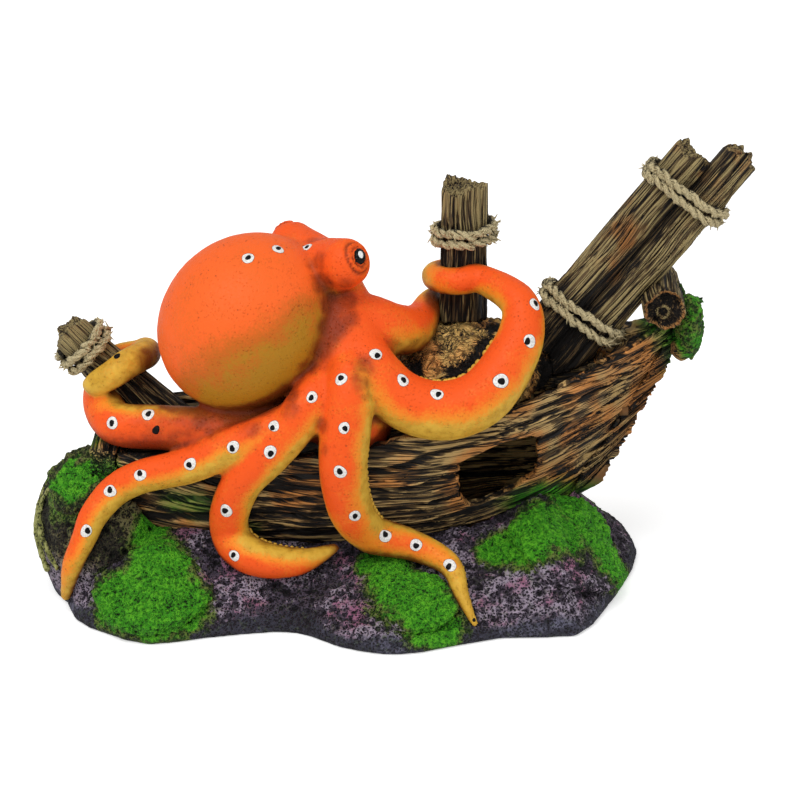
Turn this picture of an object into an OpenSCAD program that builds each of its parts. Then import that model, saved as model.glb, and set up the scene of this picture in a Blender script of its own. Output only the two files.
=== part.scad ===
// Octopus on a wrecked boat: a painted aquarium ornament of cast resin.
// +X runs from the broken stern to the bow, +Y away from the viewer, +Z up.
// The origin lies on the flat underside, at the middle of the rock base.

/* [Rock base] */
// Length by which the rock base is longer than the boat
base_overhang = 2; // [0:0.5:12]
// Depth of the rock base from front to back
base_depth = 86; // [76:1:96]
// Height of the upright rim all round the rock base
rim_height = 3; // [2:0.5:5]
// Height that the rock would reach under the boat
crest_height = 26; // [22:0.5:28]
// Swell of the lumps and hollows on the rock
rock_swell = 0.8; // [0:0.1:1.5]
// Height of the rock outcrop at the stern
outcrop_height = 36; // [31:0.5:38]
// Length of the rock outcrop at the stern
outcrop_length = 35; // [31:0.5:38]
// Depth of the rock outcrop from front to back
outcrop_depth = 46; // [40:0.5:50]

/* [Boat] */
// Length of the boat along its rail
boat_length = 148; // [138:1:158]
// Beam of the boat over the rails
boat_beam = 54; // [48:0.5:58]
// Height of the rail at the stern
stern_height = 40.5; // [38:0.5:43]
// Height of the rail at the bow
bow_height = 71; // [67:0.5:75]
// Height of the keel amidships
keel_height = 6; // [4:0.5:8]
// Rise of the keel at the bow
forefoot_rise = 18; // [12:0.5:22]
// Lean of the stem, from its foot to its head
stem_lean = 23; // [18:0.5:27]
// Thickness of the hull's side
hull_wall = 3.6; // [3:0.1:5]
// Step where one plank laps the next
plank_lap = 0.7; // [0.3:0.1:1]
// Number of planks on a side
plank_count = 6; // [4:1:8]
// Depth of the deck below the rail
bulwark = 2.5; // [1.5:0.1:4]
// Thickness of the deck
deck_thickness = 3; // [2:0.1:4]
// Deck left in front of the broken well
well_rim = 4.5; // [3:0.5:7]
// Width of the broken well in the foredeck, in from the near side of the boat
well_width = 23.2; // [19:0.2:25]
// Length of the heap of broken timber round the mast
heap_length = 44; // [38:0.5:48]
// Width of the heap of broken timber
heap_width = 38; // [32:0.5:41]
// Height of the heap of broken timber
heap_height = 28; // [24:0.5:31]
// Width of the stem post
stem_width = 7; // [5:0.5:9]
// Length of the port in the near side
port_length = 19.5; // [16:0.5:21]
// Height of the port in the near side
port_height = 20; // [16:0.5:21]

/* [Masts and spars] */
// Diameter of the middle mast stump
mast_d = 12; // [11:0.2:13.4]
// Height of the middle mast stump's broken top
mast_top = 103; // [97:0.5:108]
// Diameter of the stern stump at its top
stern_stump_d = 10.2; // [8.6:0.2:11.4]
// Diameter of the stern stump at its foot
stern_stump_foot_d = 17; // [15:0.5:19]
// Length of the stern stump
stern_stump_length = 40; // [36:0.5:43]
// Lean of the stern stump from upright
stern_stump_lean = 42; // [36:1:46]
// Diameter of the two bow spars
spar_d = 10; // [9:0.2:11]
// Length of the short bow spar
short_spar_length = 76; // [68:0.5:80]
// Length of the long bow spar
long_spar_length = 76; // [68:0.5:80]
// Rake of the bow spars above the level
spar_rake = 52; // [48:0.5:56]
// Diameter of the log across the bow
bow_log_d = 11; // [10:0.2:12]
// Length of the log across the bow
bow_log_length = 24; // [20:0.5:28]
// Depth of the flutes in the bark
bark_flute = 0.45; // [0.2:0.05:0.7]

/* [Rope] */
// Diameter of the rope in the lashings
rope_d = 2.1; // [1.8:0.1:2.5]
// Gap between a lashing's turns
rope_gap = 0.5; // [0.5:0.1:1]
// Clearance between a lashing and the timber
rope_clearance = 0.15; // [0.1:0.05:0.3]

/* [Octopus] */
// Diameter of the mantle, the round body behind the head
mantle_d = 41.5; // [38:0.5:44]
// Length of the mantle along its own axis
mantle_length = 46.5; // [44:0.5:49]
// Diameter of the brow at the top of the head
brow_d = 17; // [15:0.5:19]
// Diameter of the crown where the arms meet
crown_d = 23; // [20:0.5:25]
// Diameter of the swelling round each eye
eye_mound_d = 12.4; // [11:0.2:14]
// Diameter of each eyeball
eye_d = 5.6; // [4.6:0.2:6.4]
// Diameter of the thickest arm
arm_d = 15; // [13:0.5:16]

/* [Moss and vines] */
// Thickness of the moss
moss_thickness = 2.4; // [1.6:0.1:3.2]
// Diameter of the vines at the stern
vine_d = 1.8; // [1.4:0.1:2.4]

/* [Hidden] */
overrun = 1;
base_length = boat_length + base_overhang;

function unit(v) = v / norm(v);
function mix(a, b, t) = a + (b - a) * t;
function clamp01(x) = min(max(x, 0), 1);
function ease(x) = let (c = clamp01(x)) c * c * (3 - 2 * c);

// Catmull-Rom curve through a list of points of any length, with the given steps to a span.
function catmull(a, b, c, d, t) =
    (2 * b + (c - a) * t + (2 * a - 5 * b + 4 * c - d) * t * t + (3 * b - a - 3 * c + d) * t * t * t) / 2;
function curve(points, steps) = let (last = len(points) - 1) [
    for (i = [0:last - 1]) for (k = [0:steps - 1])
        catmull(points[max(i - 1, 0)], points[i], points[i + 1], points[min(i + 2, last)], k / steps),
    points[last]
];
function closed_curve(points, steps) = let (n = len(points)) [
    for (i = [0:n - 1]) for (k = [0:steps - 1])
        catmull(points[(i + n - 1) % n], points[i], points[(i + 1) % n], points[(i + 2) % n], k / steps)
];

// Skins a list of rings that have the same number of points each. Each end is a fan about its own middle.
function middle(ring) = [for (axis = [0:2]) sum([for (p = ring) p[axis]]) / len(ring)];
function sum(list, i = 0) = i < len(list) - 1 ? list[i] + sum(list, i + 1) : list[i];
module skin(rings) {
    n = len(rings[0]);
    last = len(rings) - 1;
    foot = (last + 1) * n;
    polyhedron(
        points = [for (ring = rings) each ring, middle(rings[0]), middle(rings[last])],
        faces = [
            for (i = [0:last - 1]) for (j = [0:n - 1]) let (k = (j + 1) % n)
                each [
                    [i * n + j, (i + 1) * n + k, i * n + k],
                    [i * n + j, (i + 1) * n + j, (i + 1) * n + k]
                ],
            for (j = [0:n - 1]) [foot, j, (j + 1) % n],
            for (j = [0:n - 1]) [foot + 1, last * n + (j + 1) % n, last * n + j]
        ]
    );
}

// A size of zero keeps the size that a cast surface has.
module cast() resize([0, 0, 0]) children();

// Tube along a path of points, with a radius at each point and a frame that turns as little as it can.
function tangent(path, i) = unit(path[min(i + 1, len(path) - 1)] - path[max(i - 1, 0)]);
function across(v, t) = unit(v - (v * t) * t);
function frames(path, start) =
    let (last = len(path) - 1) [
        for (i = 0, v = across(start, tangent(path, 0)); i <= last;
            v = across(v, tangent(path, min(i + 1, last))), i = i + 1) v
    ];
function tube_rings(path, radii, sides, start) = let (side = frames(path, start)) [
    for (i = [0:len(path) - 1]) let (t = tangent(path, i), v = side[i], w = cross(t, v)) [
        for (j = [0:sides - 1]) let (a = 360 * j / sides)
            path[i] + radii[i] * (cos(a) * v + sin(a) * w)
    ]
];
module tube(path, radii, sides, start = [0, 0, 1]) skin(tube_rings(path, radii, sides, start));

// Rounded lump about a centre, with waves on it that repeat round and along.
module lump(centre, size, wave_share, waves, phase, rows = 8, columns = 16) {
    skin([
        for (i = [0:rows]) let (a = -90 + 180 * (i + 0.35) / (rows + 0.7)) [
            for (j = [0:columns - 1]) let (
                b = 360 * j / columns,
                swell = 1 + wave_share * sin(waves * b + phase) * cos(waves * a + phase)
            ) centre + swell * [
                size[0] / 2 * cos(a) * cos(b), size[1] / 2 * cos(a) * sin(b), size[2] / 2 * sin(a)
            ]
        ]
    ]);
}

// A place on the object: x in shares of the boat's length from the middle of the base, y in shares of half
// the beam from the boat's middle, z in shares of the height there, which goes from the stern's to the bow's.
stern_place_share = -0.419;
stern_rail_share = 0.57042;
function height_at(x_share) =
    mix(stern_height / stern_rail_share, bow_height, clamp01(x_share - stern_place_share));
function place(s) = [s[0] * boat_length, boat_middle_y + s[1] * boat_beam / 2, s[2] * height_at(s[0])];

// Boat: a station is a share u of the length from the stern and a share t of the height from the keel.
boat_middle_y = 0.093 * base_depth;
boat_stern_x = stern_place_share * boat_length;
stem_half = 0.17 * stem_width;
widest_station_share = 0.4;
stern_narrowing_share = 0.35;
bow_taper = 2.4;
rail_sweep = 2.5;
function rail_z(u) = stern_height + (bow_height - stern_height) * pow(clamp01(u), rail_sweep);
function keel_z(u) = keel_height + forefoot_rise * pow(clamp01(u), 5);
function half_beam(u) = u < widest_station_share
    ? boat_beam / 2 * (1 - stern_narrowing_share * pow((widest_station_share - u) / widest_station_share, 2))
    : stem_half + (boat_beam / 2 - stem_half)
        * (1 - pow((min(u, 1) - widest_station_share) / (1 - widest_station_share), bow_taper));
function fullness(u, t) = sin(90 * pow(clamp01(t), 0.55 + 0.6 * pow(clamp01(u), 4)));
function boat_x(u, t) = boat_stern_x + boat_length * u - stem_lean * (1 - t) * pow(max(u, 0), 3);
function hull_point(side, u, t, inset, lap) = [
    boat_x(u, t),
    boat_middle_y + side * max((half_beam(u) - inset) * fullness(u, t) + lap, 0),
    mix(keel_z(u) + inset, rail_z(u), t)
];

stations = 16;
transom_share = 0.045;
station_share = [0, for (i = [0:stations - 1]) mix(transom_share, 1, i / (stations - 1))];
// One half of the hull as a solid between two stations, out to the lapped planks.
module half_hull(side, from = 0, to = stations) {
    skin([
        for (i = [from:to]) let (u = station_share[i], ring = [
            hull_point(side, u, 0, 0, 0),
            for (k = [0:plank_count - 1]) each [
                hull_point(side, u, k / plank_count, 0, plank_lap),
                hull_point(side, u, (k + 1) / plank_count, 0, 0)
            ],
            [boat_x(u, 1), boat_middle_y, rail_z(u)]
        ]) side > 0 ? ring : [for (k = [len(ring) - 1:-1:0]) ring[k]]
    ]);
}
// The smooth envelope of the planks, which what lies against the hull is shaped to.
module envelope() {
    skin([
        for (i = [0:stations]) let (u = station_share[i]) [
            for (k = [0:plank_count]) hull_point(1, u, k / plank_count, 0, plank_lap),
            for (k = [plank_count:-1:0]) hull_point(-1, u, k / plank_count, 0, plank_lap)
        ]
    ]);
}

// The space inside the planking, open upwards past the rail.
cabin_from_share = 0.06;
cabin_to_share = 0.87;
cabin_rows = 5;
function inner_ring(u, top) = [
    for (k = [0:cabin_rows]) hull_point(1, u, k / cabin_rows, hull_wall, 0),
    hull_point(1, u, 1, hull_wall, 0) + [0, 0, top],
    hull_point(-1, u, 1, hull_wall, 0) + [0, 0, top],
    for (k = [cabin_rows:-1:1]) hull_point(-1, u, k / cabin_rows, hull_wall, 0)
];
cabin_steps = 10;
module cabin_space()
    skin([
        for (i = [0:cabin_steps])
            inner_ring(mix(cabin_from_share, cabin_to_share, i / cabin_steps), 3 * bulwark)
    ]);

// A slab that follows the rail's sweep, between two depths below it.
deck_steps = 8;
module rail_slab(from, to, top_depth, bottom_depth)
    skin([
        for (i = [0:deck_steps]) let (
            u = mix(from, to, i / deck_steps), x = boat_x(u, 1), z = rail_z(u), w = boat_beam
        ) [
            [x, boat_middle_y + w, z - bottom_depth], [x, boat_middle_y + w, z - top_depth],
            [x, boat_middle_y - w, z - top_depth], [x, boat_middle_y - w, z - bottom_depth]
        ]
    ]);

// The boat as the octopus and the rock meet it: solid up to the deck.
module boat_solid() difference() {
    envelope();
    intersection() {
        cabin_space();
        rail_slab(0, 1, -4 * bulwark, bulwark);
    }
}

// The port's outline, as shares of its length and height. It rises with the planks.
port_place_share = [0.684, 0.488];
port_outline_share = [
    [-0.5, 0.24], [0.03, 0.44], [0.44, 0.5], [0.5, 0.38], [0.5, -0.16],
    [0.24, -0.31], [-0.22, -0.5], [-0.36, -0.5], [-0.46, -0.34], [-0.5, -0.03]
];
module port_cut()
    translate([boat_stern_x + port_place_share[0] * boat_length, boat_middle_y, port_place_share[1] * bow_height])
        rotate([90, 0, 0])
            linear_extrude(boat_beam)
                polygon([for (p = port_outline_share) [p[0] * port_length, p[1] * port_height]]);

deck_split_share = 0.745;
deck_split_x = boat_stern_x + deck_split_share * boat_length;
deck_end_x = boat_stern_x + cabin_to_share * boat_length;
module well_cut()
    translate([deck_split_x - overrun, boat_middle_y - boat_beam / 2, stern_height])
        cube([deck_end_x - well_rim - deck_split_x + overrun, well_width, bow_height]);

module hull_side(side) cast() difference() {
    half_hull(side, 1);
    cabin_space();
    lashing_room();
    if (side < 0) port_cut();
}
module hull_near_side() color("saddlebrown") hull_side(-1);
module hull_far_side() color("saddlebrown") hull_side(1);
module transom() color("sienna") cast() {
    half_hull(-1, 0, 1);
    half_hull(1, 0, 1);
}
module aft_deck() color("peru") cast() intersection() {
    cabin_space();
    rail_slab(0, deck_split_share, bulwark, bulwark + deck_thickness);
}
module foredeck() color("peru") cast() difference() {
    intersection() {
        cabin_space();
        rail_slab(deck_split_share, 1, bulwark, bulwark + deck_thickness);
    }
    well_cut();
}
module stem_form() {
    reach = [-0.5 * stem_width, 0.5 * stem_width];
    half = stem_width / 2;
    skin([
        for (t = [-0.09, 0, 0.25, 0.5, 0.75, 1.06]) let (
            x = boat_stern_x + boat_length - stem_lean * (1 - t), z = mix(keel_z(1), rail_z(1), t),
            taper = t < 0 ? 0.3 : 1
        ) [
            [x + taper * reach[0], boat_middle_y - taper * half, z],
            [x + taper * reach[1], boat_middle_y - taper * half / 2, z],
            [x + taper * reach[1], boat_middle_y + taper * half / 2, z],
            [x + taper * reach[0], boat_middle_y + taper * half, z]
        ]
    ]);
}
module stem_post() color("sienna") cast() difference() {
    stem_form();
    envelope();
}

// Rock: rings of the floor outline drawn in towards a ridge under the boat.
rock_outline_share = [
    [-1, 0.47], [-0.95, 0.14], [-0.93, -0.23], [-0.88, -0.56], [-0.77, -0.74], [-0.62, -0.88], [-0.44, -0.8],
    [-0.21, -0.72], [-0.1, -0.77], [0, -0.91], [0.14, -1], [0.27, -0.98], [0.53, -0.8], [0.78, -0.77],
    [0.885, -0.45], [0.965, -0.1], [1.025, 0.3], [0.97, 0.65], [0.8, 0.88], [0.53, 0.93], [0.13, 0.98],
    [-0.27, 0.93], [-0.6, 0.88], [-0.87, 0.74]
];
rock_ring_share = [0.98, 1, 0.97, 0.88, 0.75, 0.6, 0.42, 0.12];
ridge_half_share = 0.6;
// The crest dips between the first two and the last two of these shares of the base's length.
rock_dip_share = 0.32;
rock_dip_ends_share = [-0.25, -0.03, 0.2, 0.36];
function rock_dip(x) = let (ends = rock_dip_ends_share * base_length)
    ease((x - ends[0]) / (ends[1] - ends[0])) - ease((x - ends[2]) / (ends[3] - ends[2]));
lump_pitch = 0.13 * base_length;
rock_steepness = 1.8;
function rock_height(p, s) =
    (crest_height - rim_height) * (1 - rock_dip_share * rock_dip(p[0])) * (1 - pow(s, rock_steepness))
    + rock_swell * (sin(360 * (p[0] + 0.4 * p[1]) / lump_pitch) + sin(360 * (1.2 * p[1] - 0.6 * p[0]) / lump_pitch))
        * (1 - pow(s, 6));
module rock_form(thicker = 0) {
    outline = closed_curve(rock_outline_share, 2);
    skin([
        for (k = [0:len(rock_ring_share) - 1]) let (s = rock_ring_share[k]) [
            for (p = outline) let (
                edge = [p[0] * base_length / 2, p[1] * base_depth / 2],
                reach = ridge_half_share * base_length / 2,
                ridge = [min(max(edge[0], -reach), reach) * 0.9, boat_middle_y],
                out = unit(edge - ridge),
                q = mix(ridge, edge, s) + (k > 0 ? thicker * s * out : [0, 0])
            ) [q[0], q[1], k == 0 ? 0 : k == 1 ? rim_height / 2 : rim_height + thicker * 0.8 + rock_height(q, s)]
        ]
    ]);
}
outcrop_middle = place([-0.405, -0.22, 0.17]);
outcrop_wave_share = 0.05;
module outcrop_form(thicker = 0) intersection() {
    lump(
        outcrop_middle,
        [outcrop_length, outcrop_depth, 2 * (outcrop_height - outcrop_middle[2])] + 2 * thicker * [1, 1, 1],
        outcrop_wave_share, 3, 40, 8, 20
    );
    translate([-base_length, -base_depth, 0]) cube([2 * base_length, 2 * base_depth, 2 * outcrop_height]);
}
module rock_base() color("dimgray") cast() difference() {
    rock_form();
    boat_solid();
    stem_form();
}
module stern_outcrop() color("gray") cast() difference() {
    outcrop_form();
    boat_solid();
    rock_form();
}

// Broken timber with fluted bark and a ragged top.
timber_sides = 24;
timber_steps = 3;
ragged_share = 0.11;
function timber_d(foot_d, top_d, s) = top_d + (foot_d - top_d) * pow(1 - s, 1.5);
module timber(foot, way, length, foot_d, top_d, flutes, phase) {
    side = across(abs(way[1]) > 0.7 ? [1, 0, 0] : [0, -1, 0], way);
    up = cross(way, side);
    skin([
        for (i = [0:timber_steps]) let (s = i / timber_steps) [
            for (j = [0:timber_sides - 1]) let (
                a = 360 * j / timber_sides,
                r = timber_d(foot_d, top_d, s) / 2 - bark_flute * (1 + sin(flutes * a + phase + 25 * i)) / 2,
                rag = i < timber_steps ? 0 : ragged_share * top_d * (sin(2 * a + phase) + 0.6 * sin(5 * a + phase) - 0.8)
            ) foot + (s * length + rag) * way + r * (cos(a) * side + sin(a) * up)
        ]
    ]);
}
mast_foot = place([0.2095, 0.22, 0.82]);
mast_length = mast_top - mast_foot[2];
mast_foot_d = 1.06 * mast_d;
module mast_form() timber(mast_foot, [0, 0, 1], mast_length, mast_foot_d, mast_d, 7, 0);
stump_way = [-sin(stern_stump_lean), 0, cos(stern_stump_lean)];
stump_top = place([-0.464, -0.11, 0.953]);
stump_foot = stump_top - stern_stump_length * stump_way;
module stump_form() timber(stump_foot, stump_way, stern_stump_length, stern_stump_foot_d, stern_stump_d, 7, 60);

spar_way = [cos(spar_rake), 0, sin(spar_rake)];
spar_apart = across([1, 0, 0], spar_way);
spar_spacing = 1.01 * spar_d;
short_spar_foot = place([0.2749, 0, 0.7455]);
long_spar_foot = short_spar_foot + spar_spacing * spar_apart + 0.7 * spar_d * spar_way;
short_spar_top = short_spar_foot + short_spar_length * spar_way;
module short_spar_form() timber(short_spar_foot, spar_way, short_spar_length, spar_d, spar_d, 8, 20);
module long_spar_form() timber(long_spar_foot, spar_way, long_spar_length, spar_d, spar_d, 8, 110);

heap_middle = place([0.223, 0.04, 0.747]);
heap_wave_share = 0.035;
module heap_form() lump(heap_middle, [heap_length, heap_width, heap_height], heap_wave_share, 4, 10, 8, 20);
log_end = place([0.541, -0.41, 1.046]);
module log_form() timber(
    log_end + [0, bow_log_length, 0], [0, -1, 0], bow_log_length, bow_log_d, bow_log_d, 7, 150
);
knot_wave_share = 0.05;
module knot_form() lump(
    place([0.58, -0.1, 0.872]), bow_log_d * [0.6, 0.62, 0.62], knot_wave_share, 2, 0, 5, 10
);

module timber_heap() color("olive") cast() difference() {
    heap_form();
    boat_solid();
}
module middle_mast_stump() color("tan") cast() difference() {
    mast_form();
    heap_form();
    boat_solid();
}
module stern_stump() color("tan") cast() difference() {
    stump_form();
    boat_solid();
    outcrop_form();
    rock_form();
}
module short_spar() color("burlywood") cast() difference() {
    short_spar_form();
    heap_form();
    boat_solid();
}
module long_spar() color("burlywood") cast() difference() {
    long_spar_form();
    heap_form();
    boat_solid();
}
module bow_log() color("tan") cast() difference() {
    log_form();
    boat_solid();
    stem_form();
    long_spar_form();
}
module bow_knot() color("tan") cast() difference() {
    knot_form();
    boat_solid();
    stem_form();
    log_form();
}

// Lashings: two turns of one rope, round one timber or round two that lie side by side. Each end of the rope
// runs straight. The least gap between the rope's turns is measured on the points of its middle line.
rope_sides = 6;
turn_steps = 24;
rope_turns = 2;
rope_start = 105;
module lashing(name, middle, way, side, half_apart, around_d) {
    up = cross(way, side);
    r = around_d / 2 + rope_clearance + rope_d / 2;
    pitch = rope_d + rope_gap;
    steps = turn_steps * rope_turns;
    turns = [
        for (i = [0:steps]) let (a = 360 * i / turn_steps + rope_start, c = cos(a)) middle
            + ((c > 0 ? half_apart : -half_apart) + r * c) * side
            + r * sin(a) * up
            + pitch * (i - steps / 2) / turn_steps * way
    ];
    path = [
        turns[0] + rope_d * unit(turns[0] - turns[1]),
        each turns,
        turns[steps] + rope_d * unit(turns[steps] - turns[steps - 1])
    ];
    least = min([
        for (i = [0:steps + 2]) for (k = [i + turn_steps / 2:1:steps + 2]) norm(path[i] - path[k]) - rope_d
    ]);
    echo(str(name, ": least gap between turns ", least, " mm"));
    tube(path, [for (p = path) rope_d / 2], rope_sides, way);
}
mast_rope_share = 0.7;
stump_rope_share = 0.82;
upper_rope_share = 0.865;
lower_rope_share = 0.34;
function spar_between(share) = mix(short_spar_foot, short_spar_top, share) + spar_spacing / 2 * spar_apart;
module middle_mast_lashing() color("wheat") lashing(
    "middle_mast_lashing", mast_foot + mast_rope_share * mast_length * [0, 0, 1], [0, 0, 1], [1, 0, 0], 0,
    timber_d(mast_foot_d, mast_d, mast_rope_share)
);
module stern_stump_lashing() color("wheat") lashing(
    "stern_stump_lashing", mix(stump_foot, stump_top, stump_rope_share), stump_way, [0, 1, 0], 0,
    timber_d(stern_stump_foot_d, stern_stump_d, stump_rope_share)
);
// The room that the lower lashing needs where it passes the rail.
module lashing_room() hull() for (end = [-1, 1]) {
    at = spar_between(lower_rope_share) + end * spar_spacing / 2 * spar_apart;
    reach = (rope_turns + 2) * (rope_d + rope_gap) / 2 * spar_way;
    r = spar_d / 2 + rope_d + 2 * rope_clearance;
    tube([at - reach, at + reach], [r, r], 16, spar_apart);
}
module upper_spar_lashing() color("wheat") lashing(
    "upper_spar_lashing", spar_between(upper_rope_share), spar_way, spar_apart, spar_spacing / 2, spar_d
);
module lower_spar_lashing() color("wheat") lashing(
    "lower_spar_lashing", spar_between(lower_rope_share), spar_way, spar_apart, spar_spacing / 2, spar_d
);

// Octopus: the mantle, the head between the eyes and the crown, and eight arms.
mantle_middle = place([-0.1525, -0.444, 1.015]);
mantle_turn = 15;
mantle_tilt = 42;
module mantle_form() translate(mantle_middle) rotate([0, -mantle_tilt, mantle_turn])
    lump([0, 0, 0], [mantle_length, mantle_d, mantle_d], 0, 1, 0, 12, 26);

near_eye_middle = place([0.011, -0.57, 1.245]);
far_eye_middle = place([-0.078, 0.12, 1.218]);
near_gaze = unit([0.6, -0.6, 0.5]);
far_gaze = unit([-0.39, 0.76, 0.5]);
brow_middle = (near_eye_middle + far_eye_middle) / 2 - 0.25 * brow_d * [0, 0, 1];
head_sides = 16;
neck_share = [[-0.01, -0.3, 1.07], [0.01, -0.48, 0.944], [0.017, -0.63, 0.803], [0.017, -0.55, 0.62]];
neck_girth_share = [0.52, 0.5, 0.5, 0.45];
module head_form() {
    tube(
        curve([brow_middle, for (p = neck_share) place(p)], 2),
        curve([brow_d / 2, for (g = neck_girth_share) g * mix(brow_d, crown_d, ease(2 * (0.52 - g) / 0.04))], 2),
        head_sides, [1, 0, 0]
    );
    hull() {
        translate(near_eye_middle) sphere(d = eye_mound_d, $fn = head_sides);
        translate(brow_middle) sphere(d = brow_d, $fn = head_sides);
    }
    hull() {
        translate(far_eye_middle) sphere(d = eye_mound_d, $fn = head_sides);
        translate(brow_middle) sphere(d = brow_d, $fn = head_sides);
    }
}
module eye_form(middle, gaze)
    translate(middle + (eye_mound_d - eye_d * 0.62) / 2 * gaze) sphere(d = eye_d, $fn = 24);
module octopus_mantle() color("darkorange") mantle_form();
module octopus_head() color("orange") cast() difference() {
    head_form();
    mantle_form();
    boat_solid();
    eye_form(near_eye_middle, near_gaze);
    eye_form(far_eye_middle, far_gaze);
}
module near_eye() color("black") eye_form(near_eye_middle, near_gaze);
module far_eye() color("black") eye_form(far_eye_middle, far_gaze);

// An arm's route: the place of each point, and the arm's radius there in shares of the thickest arm's.
function girth(s) = s[3] * arm_d / 2;
arm_steps = 2;
module arm(route, extra_path = [], extra_radii = [], sides = 10) {
    path = concat([for (s = route) place(s)], extra_path);
    radii = concat([for (s = route) girth(s)], extra_radii);
    tube(curve(path, arm_steps), curve(radii, arm_steps), sides, [0, -1, 0]);
}
// A coil round a timber: at each angle, the distance along the timber and the arm's radius there, both in
// shares of the thickest arm's radius. The arm presses into the bark, and more so with a smaller hold.
function coil(middle, way, side, timber_r, turns, hold_share) = [
    for (c = turns) middle + c[1] * arm_d / 2 * way
        + (timber_r + hold_share * c[2] * arm_d / 2) * (cos(c[0]) * side + sin(c[0]) * cross(way, side))
];
function coil_girth(turns) = [for (c = turns) c[2] * arm_d / 2];

stern_coil_share = [
    [0.01, -0.5, 0.8, 0.7], [-0.06, -0.72, 0.69, 0.76], [-0.145, -0.8, 0.665, 0.76], [-0.23, -0.76, 0.66, 0.76],
    [-0.312, -0.63, 0.65, 0.75], [-0.37, -0.56, 0.65, 0.73], [-0.398, -0.34, 0.68, 0.69], [-0.402, -0.05, 0.72, 0.64],
    [-0.386, 0.2, 0.768, 0.58]
];
stern_turns_share = [
    [-35, -0.4, 0.54], [-65, -0.35, 0.52], [-95, -0.23, 0.5], [-130, 0.05, 0.5], [-165, 0.22, 0.48],
    [-195, 0.34, 0.4], [-215, 0.42, 0.22]
];
stern_coil_at_share = 0.575;
stern_hold_share = 0.94;
module stern_coil_form() arm(
    stern_coil_share,
    coil(
        mix(stump_foot, stump_top, stern_coil_at_share), stump_way, [0, 1, 0],
        timber_d(stern_stump_foot_d, stern_stump_d, stern_coil_at_share) / 2, stern_turns_share,
        stern_hold_share
    ),
    coil_girth(stern_turns_share)
);
long_left_share = [
    [0.01, -0.6, 0.86, 0.88], [-0.055, -0.98, 0.75, 0.79], [-0.106, -1.06, 0.705, 0.67], [-0.174, -1.05, 0.645, 0.65],
    [-0.246, -1, 0.565, 0.6], [-0.325, -0.9, 0.508, 0.57], [-0.374, -0.87, 0.45, 0.54], [-0.41, -0.97, 0.37, 0.48],
    [-0.427, -1.03, 0.29, 0.42], [-0.447, -1.09, 0.2, 0.35], [-0.463, -0.98, 0.06, 0.18]
];
hook_share = [
    [0.012, -0.65, 0.88, 0.82], [-0.04, -1, 0.81, 0.76], [-0.08, -1.1, 0.71, 0.73], [-0.113, -1.11, 0.63, 0.73],
    [-0.158, -1.08, 0.52, 0.68], [-0.181, -1.01, 0.4, 0.66], [-0.184, -0.96, 0.315, 0.65], [-0.17, -1.03, 0.26, 0.65],
    [-0.13, -1.1, 0.225, 0.62], [-0.066, -1.09, 0.215, 0.46], [-0.008, -0.97, 0.245, 0.17]
];
long_right_share = [
    [0.018, -0.6, 0.94, 0.82], [0.02, -1, 0.86, 0.84], [0.012, -1.14, 0.72, 0.84], [0.008, -1.18, 0.57, 0.79],
    [0.02, -1.09, 0.41, 0.74], [0.048, -0.96, 0.305, 0.67], [0.077, -0.92, 0.275, 0.62], [0.13, -0.97, 0.25, 0.51],
    [0.185, -1.15, 0.21, 0.4], [0.204, -1.4, 0.14, 0.26], [0.225, -1.61, 0.07, 0.13]
];
mast_coil_share = [
    [0.018, -0.4, 0.98, 0.82], [0.045, -0.78, 0.915, 0.88], [0.1, -0.9, 0.8, 0.94], [0.167, -0.92, 0.755, 0.98],
    [0.23, -0.86, 0.785, 0.95], [0.274, -0.7, 0.87, 0.88], [0.303, -0.52, 0.985, 0.77], [0.296, -0.32, 1.075, 0.62]
];
mast_turns_share = [
    [-60, 0.21, 0.48], [-92, 0.16, 0.47], [-130, 0.09, 0.46], [-175, 0, 0.45], [-220, -0.09, 0.43],
    [-262, -0.12, 0.37], [-300, -0.13, 0.26], [-325, -0.13, 0.13]
];
mast_coil_at_share = 0.436;
mast_hold_share = 0.36;
module mast_coil_form() arm(
    mast_coil_share,
    coil(
        mast_foot + mast_coil_at_share * mast_length * [0, 0, 1], [0, 0, 1], [1, 0, 0],
        timber_d(mast_foot_d, mast_d, mast_coil_at_share) / 2, mast_turns_share, mast_hold_share
    ),
    coil_girth(mast_turns_share)
);
behind_mast_share = [
    [0.012, -0.4, 1.04, 0.76], [0.052, -0.44, 1.02, 0.84], [0.088, -0.38, 0.98, 0.86], [0.117, -0.22, 0.955, 0.8],
    [0.138, 0.04, 0.96, 0.6], [0.153, 0.35, 0.98, 0.42], [0.17, 0.7, 0.95, 0.32], [0.2, 0.95, 0.88, 0.16]
];
back_left_share = [
    [0.005, -0.4, 0.82, 0.79], [-0.02, 0.1, 0.75, 0.79], [-0.055, 0.6, 0.68, 0.73], [-0.095, 1, 0.65, 0.67],
    [-0.12, 1.14, 0.53, 0.65], [-0.13, 1.12, 0.38, 0.59], [-0.16, 1.12, 0.26, 0.47], [-0.22, 1.14, 0.2, 0.32],
    [-0.27, 1.05, 0.21, 0.15]
];
back_right_share = [
    [0.02, -0.35, 0.84, 0.79], [0.05, 0.1, 0.76, 0.79], [0.07, 0.6, 0.69, 0.76], [0.075, 1.02, 0.66, 0.7],
    [0.08, 1.17, 0.53, 0.65], [0.095, 1.12, 0.38, 0.59], [0.135, 1.02, 0.27, 0.47], [0.2, 1.03, 0.21, 0.32],
    [0.25, 1.12, 0.17, 0.15]
];
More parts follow.
